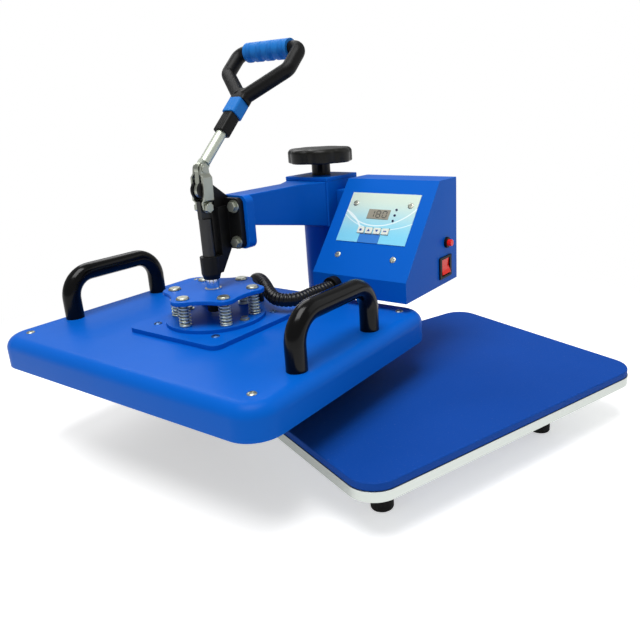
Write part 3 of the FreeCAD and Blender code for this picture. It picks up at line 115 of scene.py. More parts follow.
@dataclass(frozen=True)
class Places:
    """The frames of the press: millimetres of a group go in, metres of the row frame come out."""

    column_back: float = 205.0
    swing: float = -69.0
    panel_across: float = 112.0
    panel_front: float = 114.0
    panel_lip: float = 171.0
    panel_slope: float = 50.25

    def base(self) -> Matrix:
        """The stand, with the lower platen's middle on its upright axis.

        Returns:
            The matrix from its millimetres to metres.
        """
        low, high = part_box("column_post")
        middle = (low + high) / 2
        return shift(middle.x, middle.y - self.column_back * MM) @ Matrix.Scale(MM, 4)

    def arm(self) -> Matrix:
        """The arm, numbered as if it were closed over the lower platen."""
        back = shift(y=self.column_back)
        return self.base() @ back @ turn(self.swing, "Z") @ back.inverted()

    def panel(self) -> Matrix:
        """The sloped panel: +X across, +Y up the slope, +Z out of it."""
        lip = shift(self.panel_across, self.panel_front, self.panel_lip)
        return self.arm() @ lip @ turn(self.panel_slope, "X")


PLACES = Places()


class Graph:
    """A node tree with short calls to add nodes and link them."""

    def __init__(self, tree: bpy.types.NodeTree) -> None:
        """Takes an empty tree."""
        self.tree = tree

    @classmethod
    def of(cls, block: bpy.types.Material | bpy.types.World) -> "Graph":
        """The graph of a new material or world, emptied.

        Args:
            block: the material or world.

        Returns:
            Its graph, with no nodes.
        """
        block.use_nodes = True
        block.node_tree.nodes.clear()
        return cls(block.node_tree)

    @classmethod
    def group(cls, name: str, kind: str, inputs: dict[str, object],
              outputs: dict[str, str]) -> tuple["Graph", dict[str, bpy.types.NodeSocket]]:
        """An empty node group with named sockets.

        Args:
            name: the group's name.
            kind: the type of its tree.
            inputs: socket name to a starting number or colour, or to a socket type.
            outputs: socket name to its socket type.

        Returns:
            The graph, and its inputs by name.
        """
        tree = bpy.data.node_groups.new(name, kind)
        for label, value in inputs.items():
            plain = "NodeSocketFloat" if isinstance(value, float) else "NodeSocketColor"
            typed = isinstance(value, str)
            socket = tree.interface.new_socket(label, in_out="INPUT", socket_type=value if typed else plain)
            if not typed:
                socket.default_value = value
        for label, value in outputs.items():
            tree.interface.new_socket(label, in_out="OUTPUT", socket_type=value)
        graph = cls(tree)
        source = graph.add("NodeGroupInput")
        return graph, {label: source.outputs[label] for label in inputs}

    def close(self, **outputs: object) -> bpy.types.NodeTree:
        """Feeds the group's outputs, and gives its tree."""
        self.add("NodeGroupOutput", outputs)
        return self.tree

    def add(self, kind: str, inputs: dict | None = None, **settings: object) -> bpy.types.Node:
        """Adds a node.

        Args:
            kind: the node's type name.
            inputs: input name or number to a value, a node or an output socket.
            settings: properties of the node.

        Returns:
            The new node.
        """
        node = self.tree.nodes.new(kind)
        for name, value in settings.items():
            setattr(node, name, value)
        for name, value in (inputs or {}).items():
            self.put(node.inputs[name], value)
        return node

    def put(self, socket: bpy.types.NodeSocket, value: object) -> None:
        """Feeds an input.

        Args:
            socket: the input.
            value: an output socket, a node whose first output is meant, or a plain value.
        """
        if isinstance(value, bpy.types.NodeSocket):
            self.tree.links.new(value, socket)
        elif isinstance(value, bpy.types.Node):
            self.tree.links.new(value.outputs[0], socket)
        else:
            socket.default_value = value

    def fed(self, node: bpy.types.Node, *values: object) -> bpy.types.NodeSocket:
        """Feeds a node's inputs in their order, and gives its first output."""
        for socket, value in zip(node.inputs, values):
            self.put(socket, value)
        return node.outputs[0]

    def math(self, operation: str, *values: object) -> bpy.types.NodeSocket:
        """One step of arithmetic."""
        return self.fed(self.add("ShaderNodeMath", operation=operation), *values)

    def times(self, a: object, b: object) -> bpy.types.NodeSocket:
        """One value times another."""
        return self.math("MULTIPLY", a, b)

    def less(self, a: object, b: object) -> bpy.types.NodeSocket:
        """One value less another."""
        return self.math("SUBTRACT", a, b)

    def mix(self, factor: object, a: object, b: object, blend: str = "MIX") -> bpy.types.NodeSocket:
        """Mixes two colours.

        Args:
            factor: how much of the second.
            a: the first colour.
            b: the second colour.
            blend: how they mix.

        Returns:
            The mixed colour.
        """
        node = self.add("ShaderNodeMix", {0: factor, 6: a, 7: b}, data_type="RGBA", blend_type=blend)
        return node.outputs[2]

    def ramp(self, value: object, low: float, high: float, start: float = 0.0,
             end: float = 1.0) -> bpy.types.NodeSocket:
        """A smooth step from start to end, as the value goes from low to high."""
        step = self.add("ShaderNodeMapRange", interpolation_type="SMOOTHSTEP")
        return self.fed(step, value, low, high, start, end)

    def noise(self, vector: object, scale: object, detail: float) -> bpy.types.NodeSocket:
        """Even noise round 0.5."""
        inputs = {"Vector": vector, "Scale": scale, "Detail": detail}
        return self.add("ShaderNodeTexNoise", inputs).outputs[0]

    def vector(self, x: object = 0.0, y: object = 0.0, z: object = 0.0) -> bpy.types.Node:
        """A vector from its three values."""
        return self.add("ShaderNodeCombineXYZ", {"X": x, "Y": y, "Z": z})

    def place(self) -> bpy.types.NodeSocket:
        """The point that is shaded, in the piece's own coordinates."""
        return self.add("ShaderNodeTexCoord").outputs["Object"]

    def bump(self, strength: object, distance: float, height: object) -> bpy.types.Node:
        """A bump, with its depth in metres."""
        return self.add("ShaderNodeBump", {"Strength": strength, "Distance": distance, "Height": height})

    def paint(self, strength: float, colour: Colour, kind: str) -> bpy.types.Node:
        """A plain light source, as an Emission or a Background."""
        return self.add("ShaderNode" + kind, {"Color": rgba(colour), "Strength": strength})


class Library:
    """Node trees, each built once by the method that has its name."""

    made: dict[str, bpy.types.NodeTree] = {}

    @classmethod
    def get(cls, name: str) -> bpy.types.NodeTree:
        """The tree of that name, built on first use.

        Args:
            name: the tree's name.

        Returns:
            The tree.
        """
        if name not in cls.made:
            cls.made[name] = getattr(cls, name)()
        return cls.made[name]


class Rules(Library):
    """The Geometry Nodes trees for what repeats or follows a line."""

    @staticmethod
    def start(name: str, *sizes: str) -> tuple[Graph, dict[str, bpy.types.NodeSocket]]:
        """A tree with a geometry input, named sizes and a finish.

        Args:
            name: the tree's name.
            sizes: the names of its number inputs.

        Returns:
            The graph, and its inputs by name.
        """
        shape = {"Geometry": "NodeSocketGeometry"}
        inputs = shape | dict.fromkeys(sizes, 0.0) | {"Finish": "NodeSocketMaterial"}
        return Graph.group(name, "GeometryNodeTree", inputs, shape)

    @staticmethod
    def end(graph: Graph, inputs: dict, shape: object) -> bpy.types.NodeTree:
        """Makes the shape real, gives it the finish and closes the tree.

        Args:
            graph: the tree's graph.
            inputs: the tree's inputs.
            shape: what the tree makes.

        Returns:
            The tree.
        """
        real = graph.add("GeometryNodeRealizeInstances", {0: shape})
        dressed = graph.add("GeometryNodeSetMaterial", {"Geometry": real, "Material": inputs["Finish"]})
        return graph.close(Geometry=dressed)

    @staticmethod
    def moved(graph: Graph, shape: object, up: object) -> bpy.types.Node:
        """The shape moved up."""
        return graph.add("GeometryNodeTransform", {"Geometry": shape, "Translation": graph.vector(z=up)})

    @staticmethod
    def on_points(graph: Graph, inputs: dict, shape: object, seed: int) -> bpy.types.NodeTree:
        """Closes the tree with the shape on every point, each turned by its own amount.

        Args:
            graph: the tree's graph.
            inputs: the tree's inputs.
            shape: what stands on the points.
            seed: the seed of the turns.

        Returns:
            The tree.
        """
        amount = graph.add("FunctionNodeRandomValue", {3: math.tau, "Seed": seed}, data_type="FLOAT")
        turned = graph.vector(z=amount.outputs[1])
        copies = graph.add("GeometryNodeInstanceOnPoints", {
            "Points": inputs["Geometry"], "Instance": shape, "Rotation": turned})
        return Rules.end(graph, inputs, copies)

    @staticmethod
    def cylinder(graph: Graph, vertices: int, radius: object, tall: object) -> bpy.types.Node:
        """An upright cylinder about the origin."""
        return graph.add("GeometryNodeMeshCylinder", {"Vertices": vertices, "Radius": radius, "Depth": tall})

    @staticmethod
    def circle(graph: Graph, points: int, radius: object) -> bpy.types.Node:
        """A flat circle about the origin."""
        return graph.add("GeometryNodeCurvePrimitiveCircle", {"Resolution": points, "Radius": radius})

    @staticmethod
    def swept(graph: Graph, line: object, profile: object, scale: object = 1.0) -> bpy.types.Node:
        """The closed tube that a profile leaves along a line."""
        return graph.add("GeometryNodeCurveToMesh", {
            "Curve": line, "Profile Curve": profile, "Scale": scale, "Fill Caps": True})

    @staticmethod
    def cross_screws(sides: int = 28, slim: float = 0.36, sunk: float = 0.93) -> bpy.types.NodeTree:
        """Domed screw heads with a cross recess.

        Args:
            sides: how many sides a head has.
            slim: the width of an arm of the cross to its length.
            sunk: the height of the middle of the cutting bars to the head's.

        Returns:
            The tree.
        """
        graph, inputs = Rules.start("cross_screws", "Radius", "Tall", "Recess")
        radius, tall, recess = (inputs[label] for label in ("Radius", "Tall", "Recess"))
        ball = graph.add("GeometryNodeMeshUVSphere", {"Segments": sides, "Rings": 16, "Radius": 1.0})
        flat = graph.vector(radius, radius, tall)
        dome = graph.add("GeometryNodeTransform", {"Geometry": ball, "Scale": flat})
        upper = Rules.cylinder(graph, sides, graph.times(radius, 1.3), tall)
        head = graph.add("GeometryNodeMeshBoolean", operation="INTERSECT", solver="EXACT")
        for part in (dome, Rules.moved(graph, upper, graph.times(tall, 0.5))):
            graph.put(head.inputs["Mesh 2"], part)
        cut = graph.add("GeometryNodeMeshBoolean", {"Mesh 1": head}, operation="DIFFERENCE", solver="EXACT")
        across = graph.times(recess, slim)
        for wide, long in ((recess, across), (across, recess)):
            bar = graph.add("GeometryNodeMeshCube", {"Size": graph.vector(wide, long, tall)})
            graph.put(cut.inputs["Mesh 2"], Rules.moved(graph, bar, graph.times(tall, sunk)))
        return Rules.on_points(graph, inputs, cut, 5)

    @staticmethod
    def hex_bolts() -> bpy.types.NodeTree:
        """Six-sided bolt heads on round washers.

        Returns:
            The tree.
        """
        graph, inputs = Rules.start("hex_bolts", "Radius", "Tall", "Washer", "Thick")
        tall, thick = inputs["Tall"], inputs["Thick"]
        washer = Rules.cylinder(graph, 32, inputs["Washer"], thick)
        head = Rules.cylinder(graph, 6, inputs["Radius"], tall)
        rise = graph.math("ADD", thick, graph.times(tall, 0.5))
        both = graph.add("GeometryNodeJoinGeometry")
        for part, up in ((washer, graph.times(thick, 0.5)), (head, rise)):
            graph.put(both.inputs[0], Rules.moved(graph, part, up))
        return Rules.on_points(graph, inputs, both, 3)

    @staticmethod
    def coils() -> bpy.types.NodeTree:
        """Coil springs with a closed turn at each end.

        Returns:
            The tree.
        """
        graph, inputs = Rules.start("coils", "Radius", "Wire", "Turns", "Height")
        radius, wire = inputs["Radius"], inputs["Wire"]
        rise = graph.less(inputs["Height"], graph.times(wire, 2.0))
        line = graph.add("GeometryNodeCurveSpiral", {
            "Resolution": 28, "Rotations": inputs["Turns"], "Height": rise, "Start Radius": radius,
            "End Radius": radius})
        ring = Rules.circle(graph, 32, radius)
        lines = graph.add("GeometryNodeJoinGeometry")
        for part, up in ((line, wire), (ring, wire), (ring, graph.math("ADD", wire, rise))):
            graph.put(lines.inputs[0], Rules.moved(graph, part, up))
        return Rules.on_points(graph, inputs, Rules.swept(graph, lines, Rules.circle(graph, 12, wire)), 2)

    @staticmethod
    def ribs(steps: float = 10.0, roundness: float = 0.55) -> bpy.types.NodeTree:
        """A corrugated hose round a curve.

        Args:
            steps: how many rings make one rib.
            roundness: the power that makes the ridges broader than the valleys.

        Returns:
            The tree.
        """
        graph, inputs = Rules.start("ribs", "Valley", "Ridge", "Pitch")
        valley, pitch = inputs["Valley"], inputs["Pitch"]
        line = graph.add("GeometryNodeResampleCurve", {
            "Curve": inputs["Geometry"], "Length": graph.math("DIVIDE", pitch, steps)}, mode="LENGTH")
        along = graph.add("GeometryNodeSplineParameter").outputs["Length"]
        wave = graph.math("COSINE", graph.times(graph.math("DIVIDE", along, pitch), math.tau))
        crest = graph.math("POWER", graph.math("MULTIPLY_ADD", wave, 0.5, 0.5), roundness)
        radius = graph.math("MULTIPLY_ADD", crest, graph.less(inputs["Ridge"], valley), valley)
        tube = Rules.swept(graph, line, Rules.circle(graph, 36, 1.0), radius)
        return Rules.end(graph, inputs, graph.add("GeometryNodeSetShadeSmooth", {"Geometry": tube}))


class Groups(Library):
    """The shader groups that several finishes share."""

    surface = {"Colour": "NodeSocketColor", "Roughness": "NodeSocketFloat", "Normal": "NodeSocketVector"}
    dust_colour: Colour = (0.6, 0.6, 0.58)
    tarnish_colour: Colour = (0.32, 0.29, 0.24)
    broad: float = 9.0
    patches: float = 34.0
    stains: float = 60.0
    specks: float = 420.0

    @staticmethod
    def swing(graph: Graph, value: object, amount: object) -> bpy.types.NodeSocket:
        """How far a noise leaves its middle, times an amount."""
        return graph.times(graph.less(value, 0.5), amount)

    @staticmethod
    def edge_wear_and_highlight() -> bpy.types.NodeTree:
        """A mask of the piece's outer edges, broken up in patches, where they are lightened: partly rubbed
        wear, partly a painted highlight.

        Returns:
            The group.
        """
        sizes = {"Width": 0.0012, "Amount": 1.0, "Scale": 300.0}
        graph, inputs = Graph.group("edge_wear_and_highlight", "ShaderNodeTree", sizes, {"Mask": "NodeSocketFloat"})
        normal = graph.add("ShaderNodeNewGeometry").outputs["Normal"]
        eased = graph.add("ShaderNodeBevel", {"Radius": inputs["Width"]}, samples=4)
        dot = graph.add("ShaderNodeVectorMath", {0: eased, 1: normal}, operation="DOT_PRODUCT")
        bend = graph.ramp(graph.less(1.0, dot.outputs["Value"]), 0.02, 0.2)
        patches = graph.ramp(graph.noise(graph.place(), inputs["Scale"], 3.0), 0.4, 0.62)
        return graph.close(Mask=graph.times(graph.times(bend, patches), inputs["Amount"]))

    @staticmethod
    def skin() -> bpy.types.NodeTree:
        """Uneven colour, gloss and a fine ripple, for paint, moulded plastic and rubber.

        Returns:
            The group.
        """
        graph, inputs = Graph.group("skin", "ShaderNodeTree", {
            "Colour": rgba(grey(0.5)), "Variation": 0.1, "Roughness": 0.4, "Spread": 0.1, "Grain": 900.0,
            "Depth": 0.2, "Dust": 0.05}, Groups.surface)
        place = graph.place()
        tone = Groups.swing(graph, graph.noise(place, Groups.broad, 4.0), inputs["Variation"])
        bright = graph.math("ADD", 1.0, tone)
        shade = graph.add("ShaderNodeHueSaturation", {"Value": bright, "Color": inputs["Colour"]})
        normal = graph.add("ShaderNodeNewGeometry").outputs["Normal"]
        up = graph.add("ShaderNodeSeparateXYZ", {0: normal}).outputs["Z"]
        specks = graph.ramp(graph.noise(place, Groups.specks, 5.0), 0.6, 0.75)
        lying = graph.times(graph.times(graph.ramp(up, 0.5, 1.0), specks), inputs["Dust"])
        patch = Groups.swing(graph, graph.noise(place, Groups.patches, 5.0), inputs["Spread"])
        gloss = graph.math("ADD", inputs["Roughness"], graph.math("ADD", patch, lying))
        ripple = graph.bump(inputs["Depth"], 0.0002, graph.noise(place, inputs["Grain"], 2.0))
        colour = graph.mix(lying, shade, rgba(Groups.dust_colour))
        return graph.close(Colour=colour, Roughness=gloss, Normal=ripple)

    @staticmethod
    def metal_grain() -> bpy.types.NodeTree:
        """Drawn or turned marks along one direction, with faint tarnish.

        Returns:
            The group.
        """
        graph, inputs = Graph.group("metal_grain", "ShaderNodeTree", {
            "Colour": rgba(grey(0.6)), "Tarnish": 0.2, "Roughness": 0.3, "Spread": 0.15, "Along": 60.0,
            "Across": 2400.0, "Depth": 0.2}, Groups.surface)
        place = graph.place()
        scale = graph.vector(inputs["Along"], inputs["Across"], inputs["Across"])
        lines = graph.noise(graph.add("ShaderNodeMapping", {"Vector": place, "Scale": scale}), 1.0, 3.0)
        spots = graph.ramp(graph.noise(place, Groups.stains, 5.0), 0.45, 0.75)
        stain = graph.times(spots, inputs["Tarnish"])
        dull = graph.mix(0.5, inputs["Colour"], rgba(Groups.tarnish_colour), "MULTIPLY")
        gloss = graph.math("ADD", inputs["Roughness"], Groups.swing(graph, lines, inputs["Spread"]))
        colour = graph.mix(stain, inputs["Colour"], dull)
        return graph.close(Colour=colour, Roughness=gloss, Normal=graph.bump(inputs["Depth"], 0.0001, lines))


class Kind(Enum):
    """The two families of surface, by the group that makes them."""

    SKIN = "skin"
    METAL = "metal_grain"


@dataclass(frozen=True)
class Surface:
    """What a piece can wear."""

    name: str

    def material(self) -> bpy.types.Material:
        """The Blender material, built on first use.

        Returns:
            The material with its node tree.
        """
        made = bpy.data.materials.get("finish_" + self.name)
        if made is None:
            made = bpy.data.materials.new("finish_" + self.name)
            graph = Graph.of(made)
            graph.add("ShaderNodeOutputMaterial", {"Surface": self.shade(graph)})
        return made


@dataclass(frozen=True)
class Finish(Surface):
    """One surface finish of the press."""

    colour: Colour
    roughness: float
    kind: Kind = Kind.SKIN
    spread: float = 0.12
    variation: float = 0.12
    grain: float = 900.0
    depth: float = 0.15
    dust: float = 0.04
    coat: float = 0.0
    specular: float = 0.5
    painted_glow: float = 0.0
    # wear and the colour after it lighten the outer edges: partly rubbed wear, partly a painted highlight.
    wear: float = 0.0
    worn_and_highlight: Colour = (0.5, 0.5, 0.5)
    tarnish: float = 0.15

    def shade(self, graph: Graph) -> bpy.types.Node:
        """Makes the shader of the finish.

        Args:
            graph: the material's empty graph.

        Returns:
            The shader.
        """
        values = {"Colour": rgba(self.colour), "Roughness": self.roughness, "Spread": self.spread,
                  "Depth": self.depth}
        if self.kind is Kind.METAL:
            values |= {"Tarnish": self.tarnish}
        else:
            values |= {"Variation": self.variation, "Grain": self.grain, "Dust": self.dust}
        surface = graph.add("ShaderNodeGroup", values, node_tree=Groups.get(self.kind.value))
        colour = surface.outputs["Colour"]
        # The outer edges are lightened: partly rubbed wear, partly a painted highlight.
        if self.wear:
            edge = graph.add("ShaderNodeGroup", {"Amount": self.wear}, node_tree=Groups.get("edge_wear_and_highlight"))
            colour = graph.mix(edge.outputs["Mask"], colour, rgba(self.worn_and_highlight))
        # Emission Strength gives a painted glow that brightens the part.
        return graph.add("ShaderNodeBsdfPrincipled", {
            "Base Color": colour, "Roughness": surface.outputs["Roughness"],
            "Normal": surface.outputs["Normal"], "Metallic": float(self.kind is Kind.METAL),
            "Specular IOR Level": self.specular,
            "Coat Weight": self.coat, "Coat Roughness": COAT_ROUGHNESS,
            "Emission Color": rgba(self.colour), "Emission Strength": self.painted_glow})


# The lighter edge colours below are partly rubbed wear and partly a painted highlight.
BLUE_PAINT = Finish("blue_paint", (0.001, 0.108, 0.53), 0.36, spread=0.1, grain=420.0, depth=0.06, dust=0.02,
                    specular=0.07, wear=0.45, worn_and_highlight=(0.04, 0.26, 0.75))
RAIL_PAINT = Finish("rail_paint", (0.001, 0.075, 0.36), 0.4, grain=420.0, depth=0.08, specular=0.12,
                    wear=0.4, worn_and_highlight=(0.04, 0.2, 0.58))
BUSH_PAINT = Finish("bush_paint", (0.002, 0.05, 0.3), 0.4, grain=420.0, depth=0.08, specular=0.36)
BLACK_PAINT = Finish("black_paint", grey(0.002), 0.18, grain=700.0, depth=0.05, dust=0.01, specular=0.2,
                     wear=0.35, worn_and_highlight=grey(0.03))
CAST_BLACK = Finish("cast_black", grey(0.004), 0.38, grain=1100.0, depth=0.35, dust=0.01, specular=0.2,
                    wear=0.4, worn_and_highlight=grey(0.05))
BLACK_PLASTIC = Finish("black_plastic", grey(0.004), 0.45, grain=1800.0, depth=0.3, dust=0.01, specular=0.16,
                       wear=0.3, worn_and_highlight=grey(0.03))
HOSE_PLASTIC = Finish("hose_plastic", grey(0.003), 0.32, grain=1800.0, depth=0.1, dust=0.01, specular=0.35)
KNOB_PLASTIC = Finish("knob_plastic", (0.006, 0.0058, 0.004), 0.38, spread=0.1, grain=1500.0, depth=0.2,
                      dust=0.01, specular=0.28, wear=0.3, worn_and_highlight=(0.03, 0.03, 0.025))
BLACK_RUBBER = Finish("black_rubber", grey(0.007), 0.75, grain=1500.0, depth=0.3, specular=0.2)
BLUE_RUBBER = Finish("blue_rubber", (0.008, 0.16, 0.52), 0.55, grain=1500.0, depth=0.35, specular=0.2,
                     wear=0.3, worn_and_highlight=(0.06, 0.28, 0.68))
PAD_RUBBER = Finish("pad_rubber", (0.003, 0.058, 0.33), 0.6, spread=0.08, variation=0.2, grain=1400.0,
                    depth=0.5, specular=0.1)
SCREW_ZINC = Finish("screw_zinc", (0.5, 0.52, 0.45), 0.36, Kind.METAL, tarnish=0.3, depth=0.04)
SPRING_ZINC = Finish("spring_zinc", (0.78, 0.84, 0.7), 0.3, Kind.METAL, spread=0.1, tarnish=0.1, depth=0.02)
ZINC = Finish("zinc", (0.46, 0.48, 0.41), 0.38, Kind.METAL, tarnish=0.3, depth=0.04)
SATIN = Finish("satin_rod", (0.6, 0.64, 0.55), 0.52, Kind.METAL, spread=0.08, tarnish=0.12, depth=0.03)
STEEL = Finish("steel", (0.48, 0.49, 0.44), 0.36, Kind.METAL, spread=0.22, tarnish=0.3, depth=0.2)
BLUE_STEEL = Finish("blue_steel", (0.1, 0.2, 0.42), 0.4, Kind.METAL, tarnish=0.2, depth=0.04)
CHROME = Finish("chrome", (0.78, 0.79, 0.8), 0.14, Kind.METAL, spread=0.06, tarnish=0.05, depth=0.04)
DARK_STEEL = Finish("dark_steel", grey(0.06), 0.4, Kind.METAL, tarnish=0.2)
ALUMINIUM = Finish("aluminium", (0.5, 0.53, 0.5), 0.34, Kind.METAL, spread=0.16, tarnish=0.05)
COATED = Finish("coated_plate", (0.03, 0.03, 0.032), 0.4, depth=0.1)
PALE_WINDOW = Finish("pale_window", (0.3, 0.28, 0.22), 0.22, depth=0.02, coat=0.4)
INK = Finish("segment_ink", (0.02, 0.025, 0.02), 0.4, depth=0.05)
# The red lens carries a painted glow that brightens the rocker switch and the reset button.
RED_LENS = Finish("red_lens", (0.62, 0.012, 0.006), 0.2, depth=0.03, coat=0.2, specular=0.3, painted_glow=0.35)
DARK_LENS = Finish("dark_lens", (0.02, 0.02, 0.07), 0.2, depth=0.03, coat=0.5)
PALE_KEY = Finish("pale_key", (0.72, 0.75, 0.66), 0.38, depth=0.05)
KEY_MARK = Finish("key_mark", (0.012, 0.06, 0.3), 0.45, depth=0.05)
BOARD = Finish("mineral_board", (0.62, 0.58, 0.5), 0.9, grain=300.0, depth=0.6)
CIRCUIT = Finish("circuit_board", (0.02, 0.12, 0.05), 0.4, grain=500.0)


@dataclass(frozen=True)
class PanelFilm(Surface):
    """The printed film of the panel: a pale gradient with curved bands, and a plain field under the keys."""

    name: str = "panel_film"
    low: float = 50.0
    high: float = 107.0
    foot: Colour = (0.22, 0.66, 0.86)
    top: Colour = (0.66, 0.78, 0.66)
    band: Colour = (0.86, 0.95, 0.94)
    band_strength: float = 0.85
    band_softness: float = 0.7
    bands: tuple[tuple[float, float, float, float], ...] = (
        (-2.0, 128.0, 61.0, 1.1), (6.0, 150.0, 88.0, 0.8), (-70.0, 30.0, 60.0, 1.4))
    field_middle: tuple[float, float] = (-3.2, 49.5)
    field_half: tuple[float, float] = (13.8, 5.5)
    field_colour: Colour = (0.03, 0.2, 0.62)
    frame_colour: Colour = (0.02, 0.1, 0.32)
    frame_wide: float = 0.5

    def shade(self, graph: Graph) -> bpy.types.Node:
        """Makes the film's shader, in the panel's own frame.

        Args:
            graph: the material's empty graph.

        Returns:
            The shader.
        """
        move, rotation, size = PLACES.panel().decompose()
        mapping = graph.add("ShaderNodeMapping", {
            "Vector": graph.place(), "Location": move, "Rotation": rotation.to_euler(), "Scale": size},
            vector_type="TEXTURE")
        spot = graph.add("ShaderNodeSeparateXYZ", {0: mapping})
        across, up = spot.outputs["X"], spot.outputs["Y"]
        colour = graph.mix(graph.ramp(up, self.low, self.high), rgba(self.foot), rgba(self.top))
        for x, y, radius, half in self.bands:
            run, rise = (graph.math("POWER", graph.less(*pair), 2.0) for pair in ((across, x), (up, y)))
            reach = graph.math("SQRT", graph.math("ADD", run, rise))
            gap = graph.math("ABSOLUTE", graph.less(reach, radius))
            mask = graph.times(graph.ramp(gap, half, half - self.band_softness), self.band_strength)
            colour = graph.mix(mask, colour, rgba(self.band))
        for grow, tone in ((self.frame_wide, self.frame_colour), (0.0, self.field_colour)):
            masks = []
            for value, middle, half in zip((across, up), self.field_middle, self.field_half):
                gap = graph.math("ABSOLUTE", graph.less(value, middle))
                masks.append(graph.math("LESS_THAN", gap, half + grow))
            colour = graph.mix(graph.times(*masks), colour, rgba(tone))
        fine = graph.noise(mapping, 3.0, 2.0)
        bright = graph.ramp(fine, 0.3, 0.7, 0.94, 1.03)
        printed = graph.add("ShaderNodeHueSaturation", {"Value": bright, "Color": colour})
        return graph.add("ShaderNodeBsdfPrincipled", {
            "Base Color": printed, "Roughness": 0.3, "Coat Weight": 0.25, "Coat Roughness": 0.2,
            "Normal": graph.bump(0.05, 0.0001, fine)})


def body_of_node(node: str) -> str:
    """The body that a CAD node rides on."""
    return frame["nodes"][node]["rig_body"]


def linked(name: str, data: bpy.types.ID) -> bpy.types.Object:
    """A new object in the scene.

    Args:
        name: the object's name.
        data: its mesh, curve, light or camera.

    Returns:
        The object.
    """
    item = bpy.data.objects.new(name, data)
    bpy.context.scene.collection.objects.link(item)
    return item


def as_mesh(item: bpy.types.Object) -> bpy.types.Mesh:
    """The plain mesh of an object with its modifiers, or of a curve."""
    return bpy.data.meshes.new_from_object(item.evaluated_get(bpy.context.evaluated_depsgraph_get()))


def settle(piece: bpy.types.Object) -> None:
    """Turns a piece and its modifiers into a plain mesh.

    Args:
        piece: a mesh object with live modifiers.
    """
    mesh = as_mesh(piece)
    mesh.name = piece.name
    piece.modifiers.clear()
    piece.data = mesh


def meshed(name: str, build: bmesh.types.BMesh) -> bpy.types.Mesh:
    """A mesh from a build, which is freed.

    Args:
        name: the mesh's name.
        build: the finished build.

    Returns:
        The mesh.
    """
    mesh = bpy.data.meshes.new(name)
    build.to_mesh(mesh)
    build.free()
    return mesh


def smooth(mesh: bpy.types.Mesh) -> None:
    """Shades a mesh smooth apart from its sharp edges."""
    mesh.shade_smooth()
    mesh.set_sharp_from_angle(angle=HEAD_ANGLE)


def wear(piece: bpy.types.Object, finish: Surface) -> None:
    """Gives a piece one finish."""
    piece.data.materials.clear()
    piece.data.materials.append(finish.material())


def attach(piece: bpy.types.Object, node: str, replaced: bool = True) -> None:
    """Rides a piece on the body of a CAD node.

    Args:
        piece: a finished piece.
        node: the node whose body it takes.
        replaced: whether it stands for the node.
    """
    body = body_of_node(node)
    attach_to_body(piece, body)
    if replaced:
        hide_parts(node)
    log.info("%s on %s, %d faces", piece.name, body, len(piece.data.polygons))


def soften(piece: bpy.types.Object, width: float) -> None:
    """Eases a piece's sharp edges with a modifier that is applied at once.

    Args:
        piece: the piece.
        width: the width of its eased edges in metres.
    """
    bevel = piece.modifiers.new("eased", "BEVEL")
    bevel.width = width
    bevel.segments = 2
    bevel.limit_method = "ANGLE"
    bevel.angle_limit = EASED_ANGLE
    bevel.miter_outer = "MITER_ARC"
    even = piece.modifiers.new("even", "WEIGHTED_NORMAL")
    even.keep_sharp = True
    settle(piece)


def refine(node: str, finish: Surface, edge: float, split: float | None = None) -> bpy.types.Object:
    """A copy of a CAD node with its triangles merged and its edges eased, which stands for the node.

    Args:
        node: the CAD node.
        finish: what it wears.
        edge: the width of its eased edges in millimetres.
        split: a height in metres at which its faces are divided, where its finish changes.

    Returns:
        The new piece.
    """
    build = bmesh.new()
    build.from_mesh(frame["nodes"][node].data)
    bmesh.ops.remove_doubles(build, verts=build.verts, dist=MERGE_WITHIN)
    bmesh.ops.dissolve_limit(build, angle_limit=FLAT_ANGLE, verts=build.verts, edges=build.edges)
    if split is not None:
        cut = build.verts[:] + build.edges[:] + build.faces[:]
        bmesh.ops.bisect_plane(build, geom=cut, plane_co=(0, 0, split), plane_no=(0, 0, 1))
    mesh = meshed(node + "_shell", build)
    piece = linked(node + "_shell", mesh)
    mesh.shade_smooth()
    if edge:
        soften(piece, edge * MM)
    else:
        mesh.set_sharp_from_angle(angle=SHELL_ANGLE)
    wear(piece, finish)
    attach(piece, node)
    return piece


def dress(finish: Surface, edge: float, *nodes: str) -> None:
    """Refines several nodes that wear one finish."""
    for node in nodes:
        refine(node, finish, edge)


def keep(node: str, finish: Finish) -> None:
    """Leaves a CAD node as it is, with a better finish."""
    wear(frame["nodes"][node], finish)


def run_rule(piece: bpy.types.Object, rule: str, sizes: Sizes, finish: Finish) -> None:
    """Puts a Geometry Nodes tree on an object and sets its inputs by their identifiers.

    Args:
        piece: a mesh of points, or a curve.
        rule: the tree's name.
        sizes: the tree's numbers by name, in the piece's own units.
        finish: what the shape wears.
    """
    tree = Rules.get(rule)
    modifier = piece.modifiers.new(rule, "NODES")
    modifier.node_group = tree
    sockets = {item.name: item.identifier for item in tree.interface.items_tree if item.in_out == "INPUT"}
    for label, value in sizes.items():
        modifier[sockets[label]] = value
    modifier[sockets["Finish"]] = finish.material()


def grown(name: str, rule: str, sizes: Sizes, finish: Finish, place: Matrix,
          points: Sequence[Point]) -> bpy.types.Object:
    """A plain mesh that a Geometry Nodes tree makes on points.

    Args:
        name: the piece's name.
        rule: the tree's name.
        sizes: the tree's numbers by name, in millimetres.
        finish: what it wears.
        place: the frame that the points are given in.
        points: where the shape stands.

    Returns:
        The piece, with its place in its mesh.
    """
    mesh = bpy.data.meshes.new(name)
    mesh.from_pydata(points, [], [])
    piece = linked(name, mesh)
    run_rule(piece, rule, sizes, finish)
    settle(piece)
    piece.data.transform(place)
    wear(piece, finish)
    for face in piece.data.polygons:
        face.material_index = 0
    smooth(piece.data)
    return piece


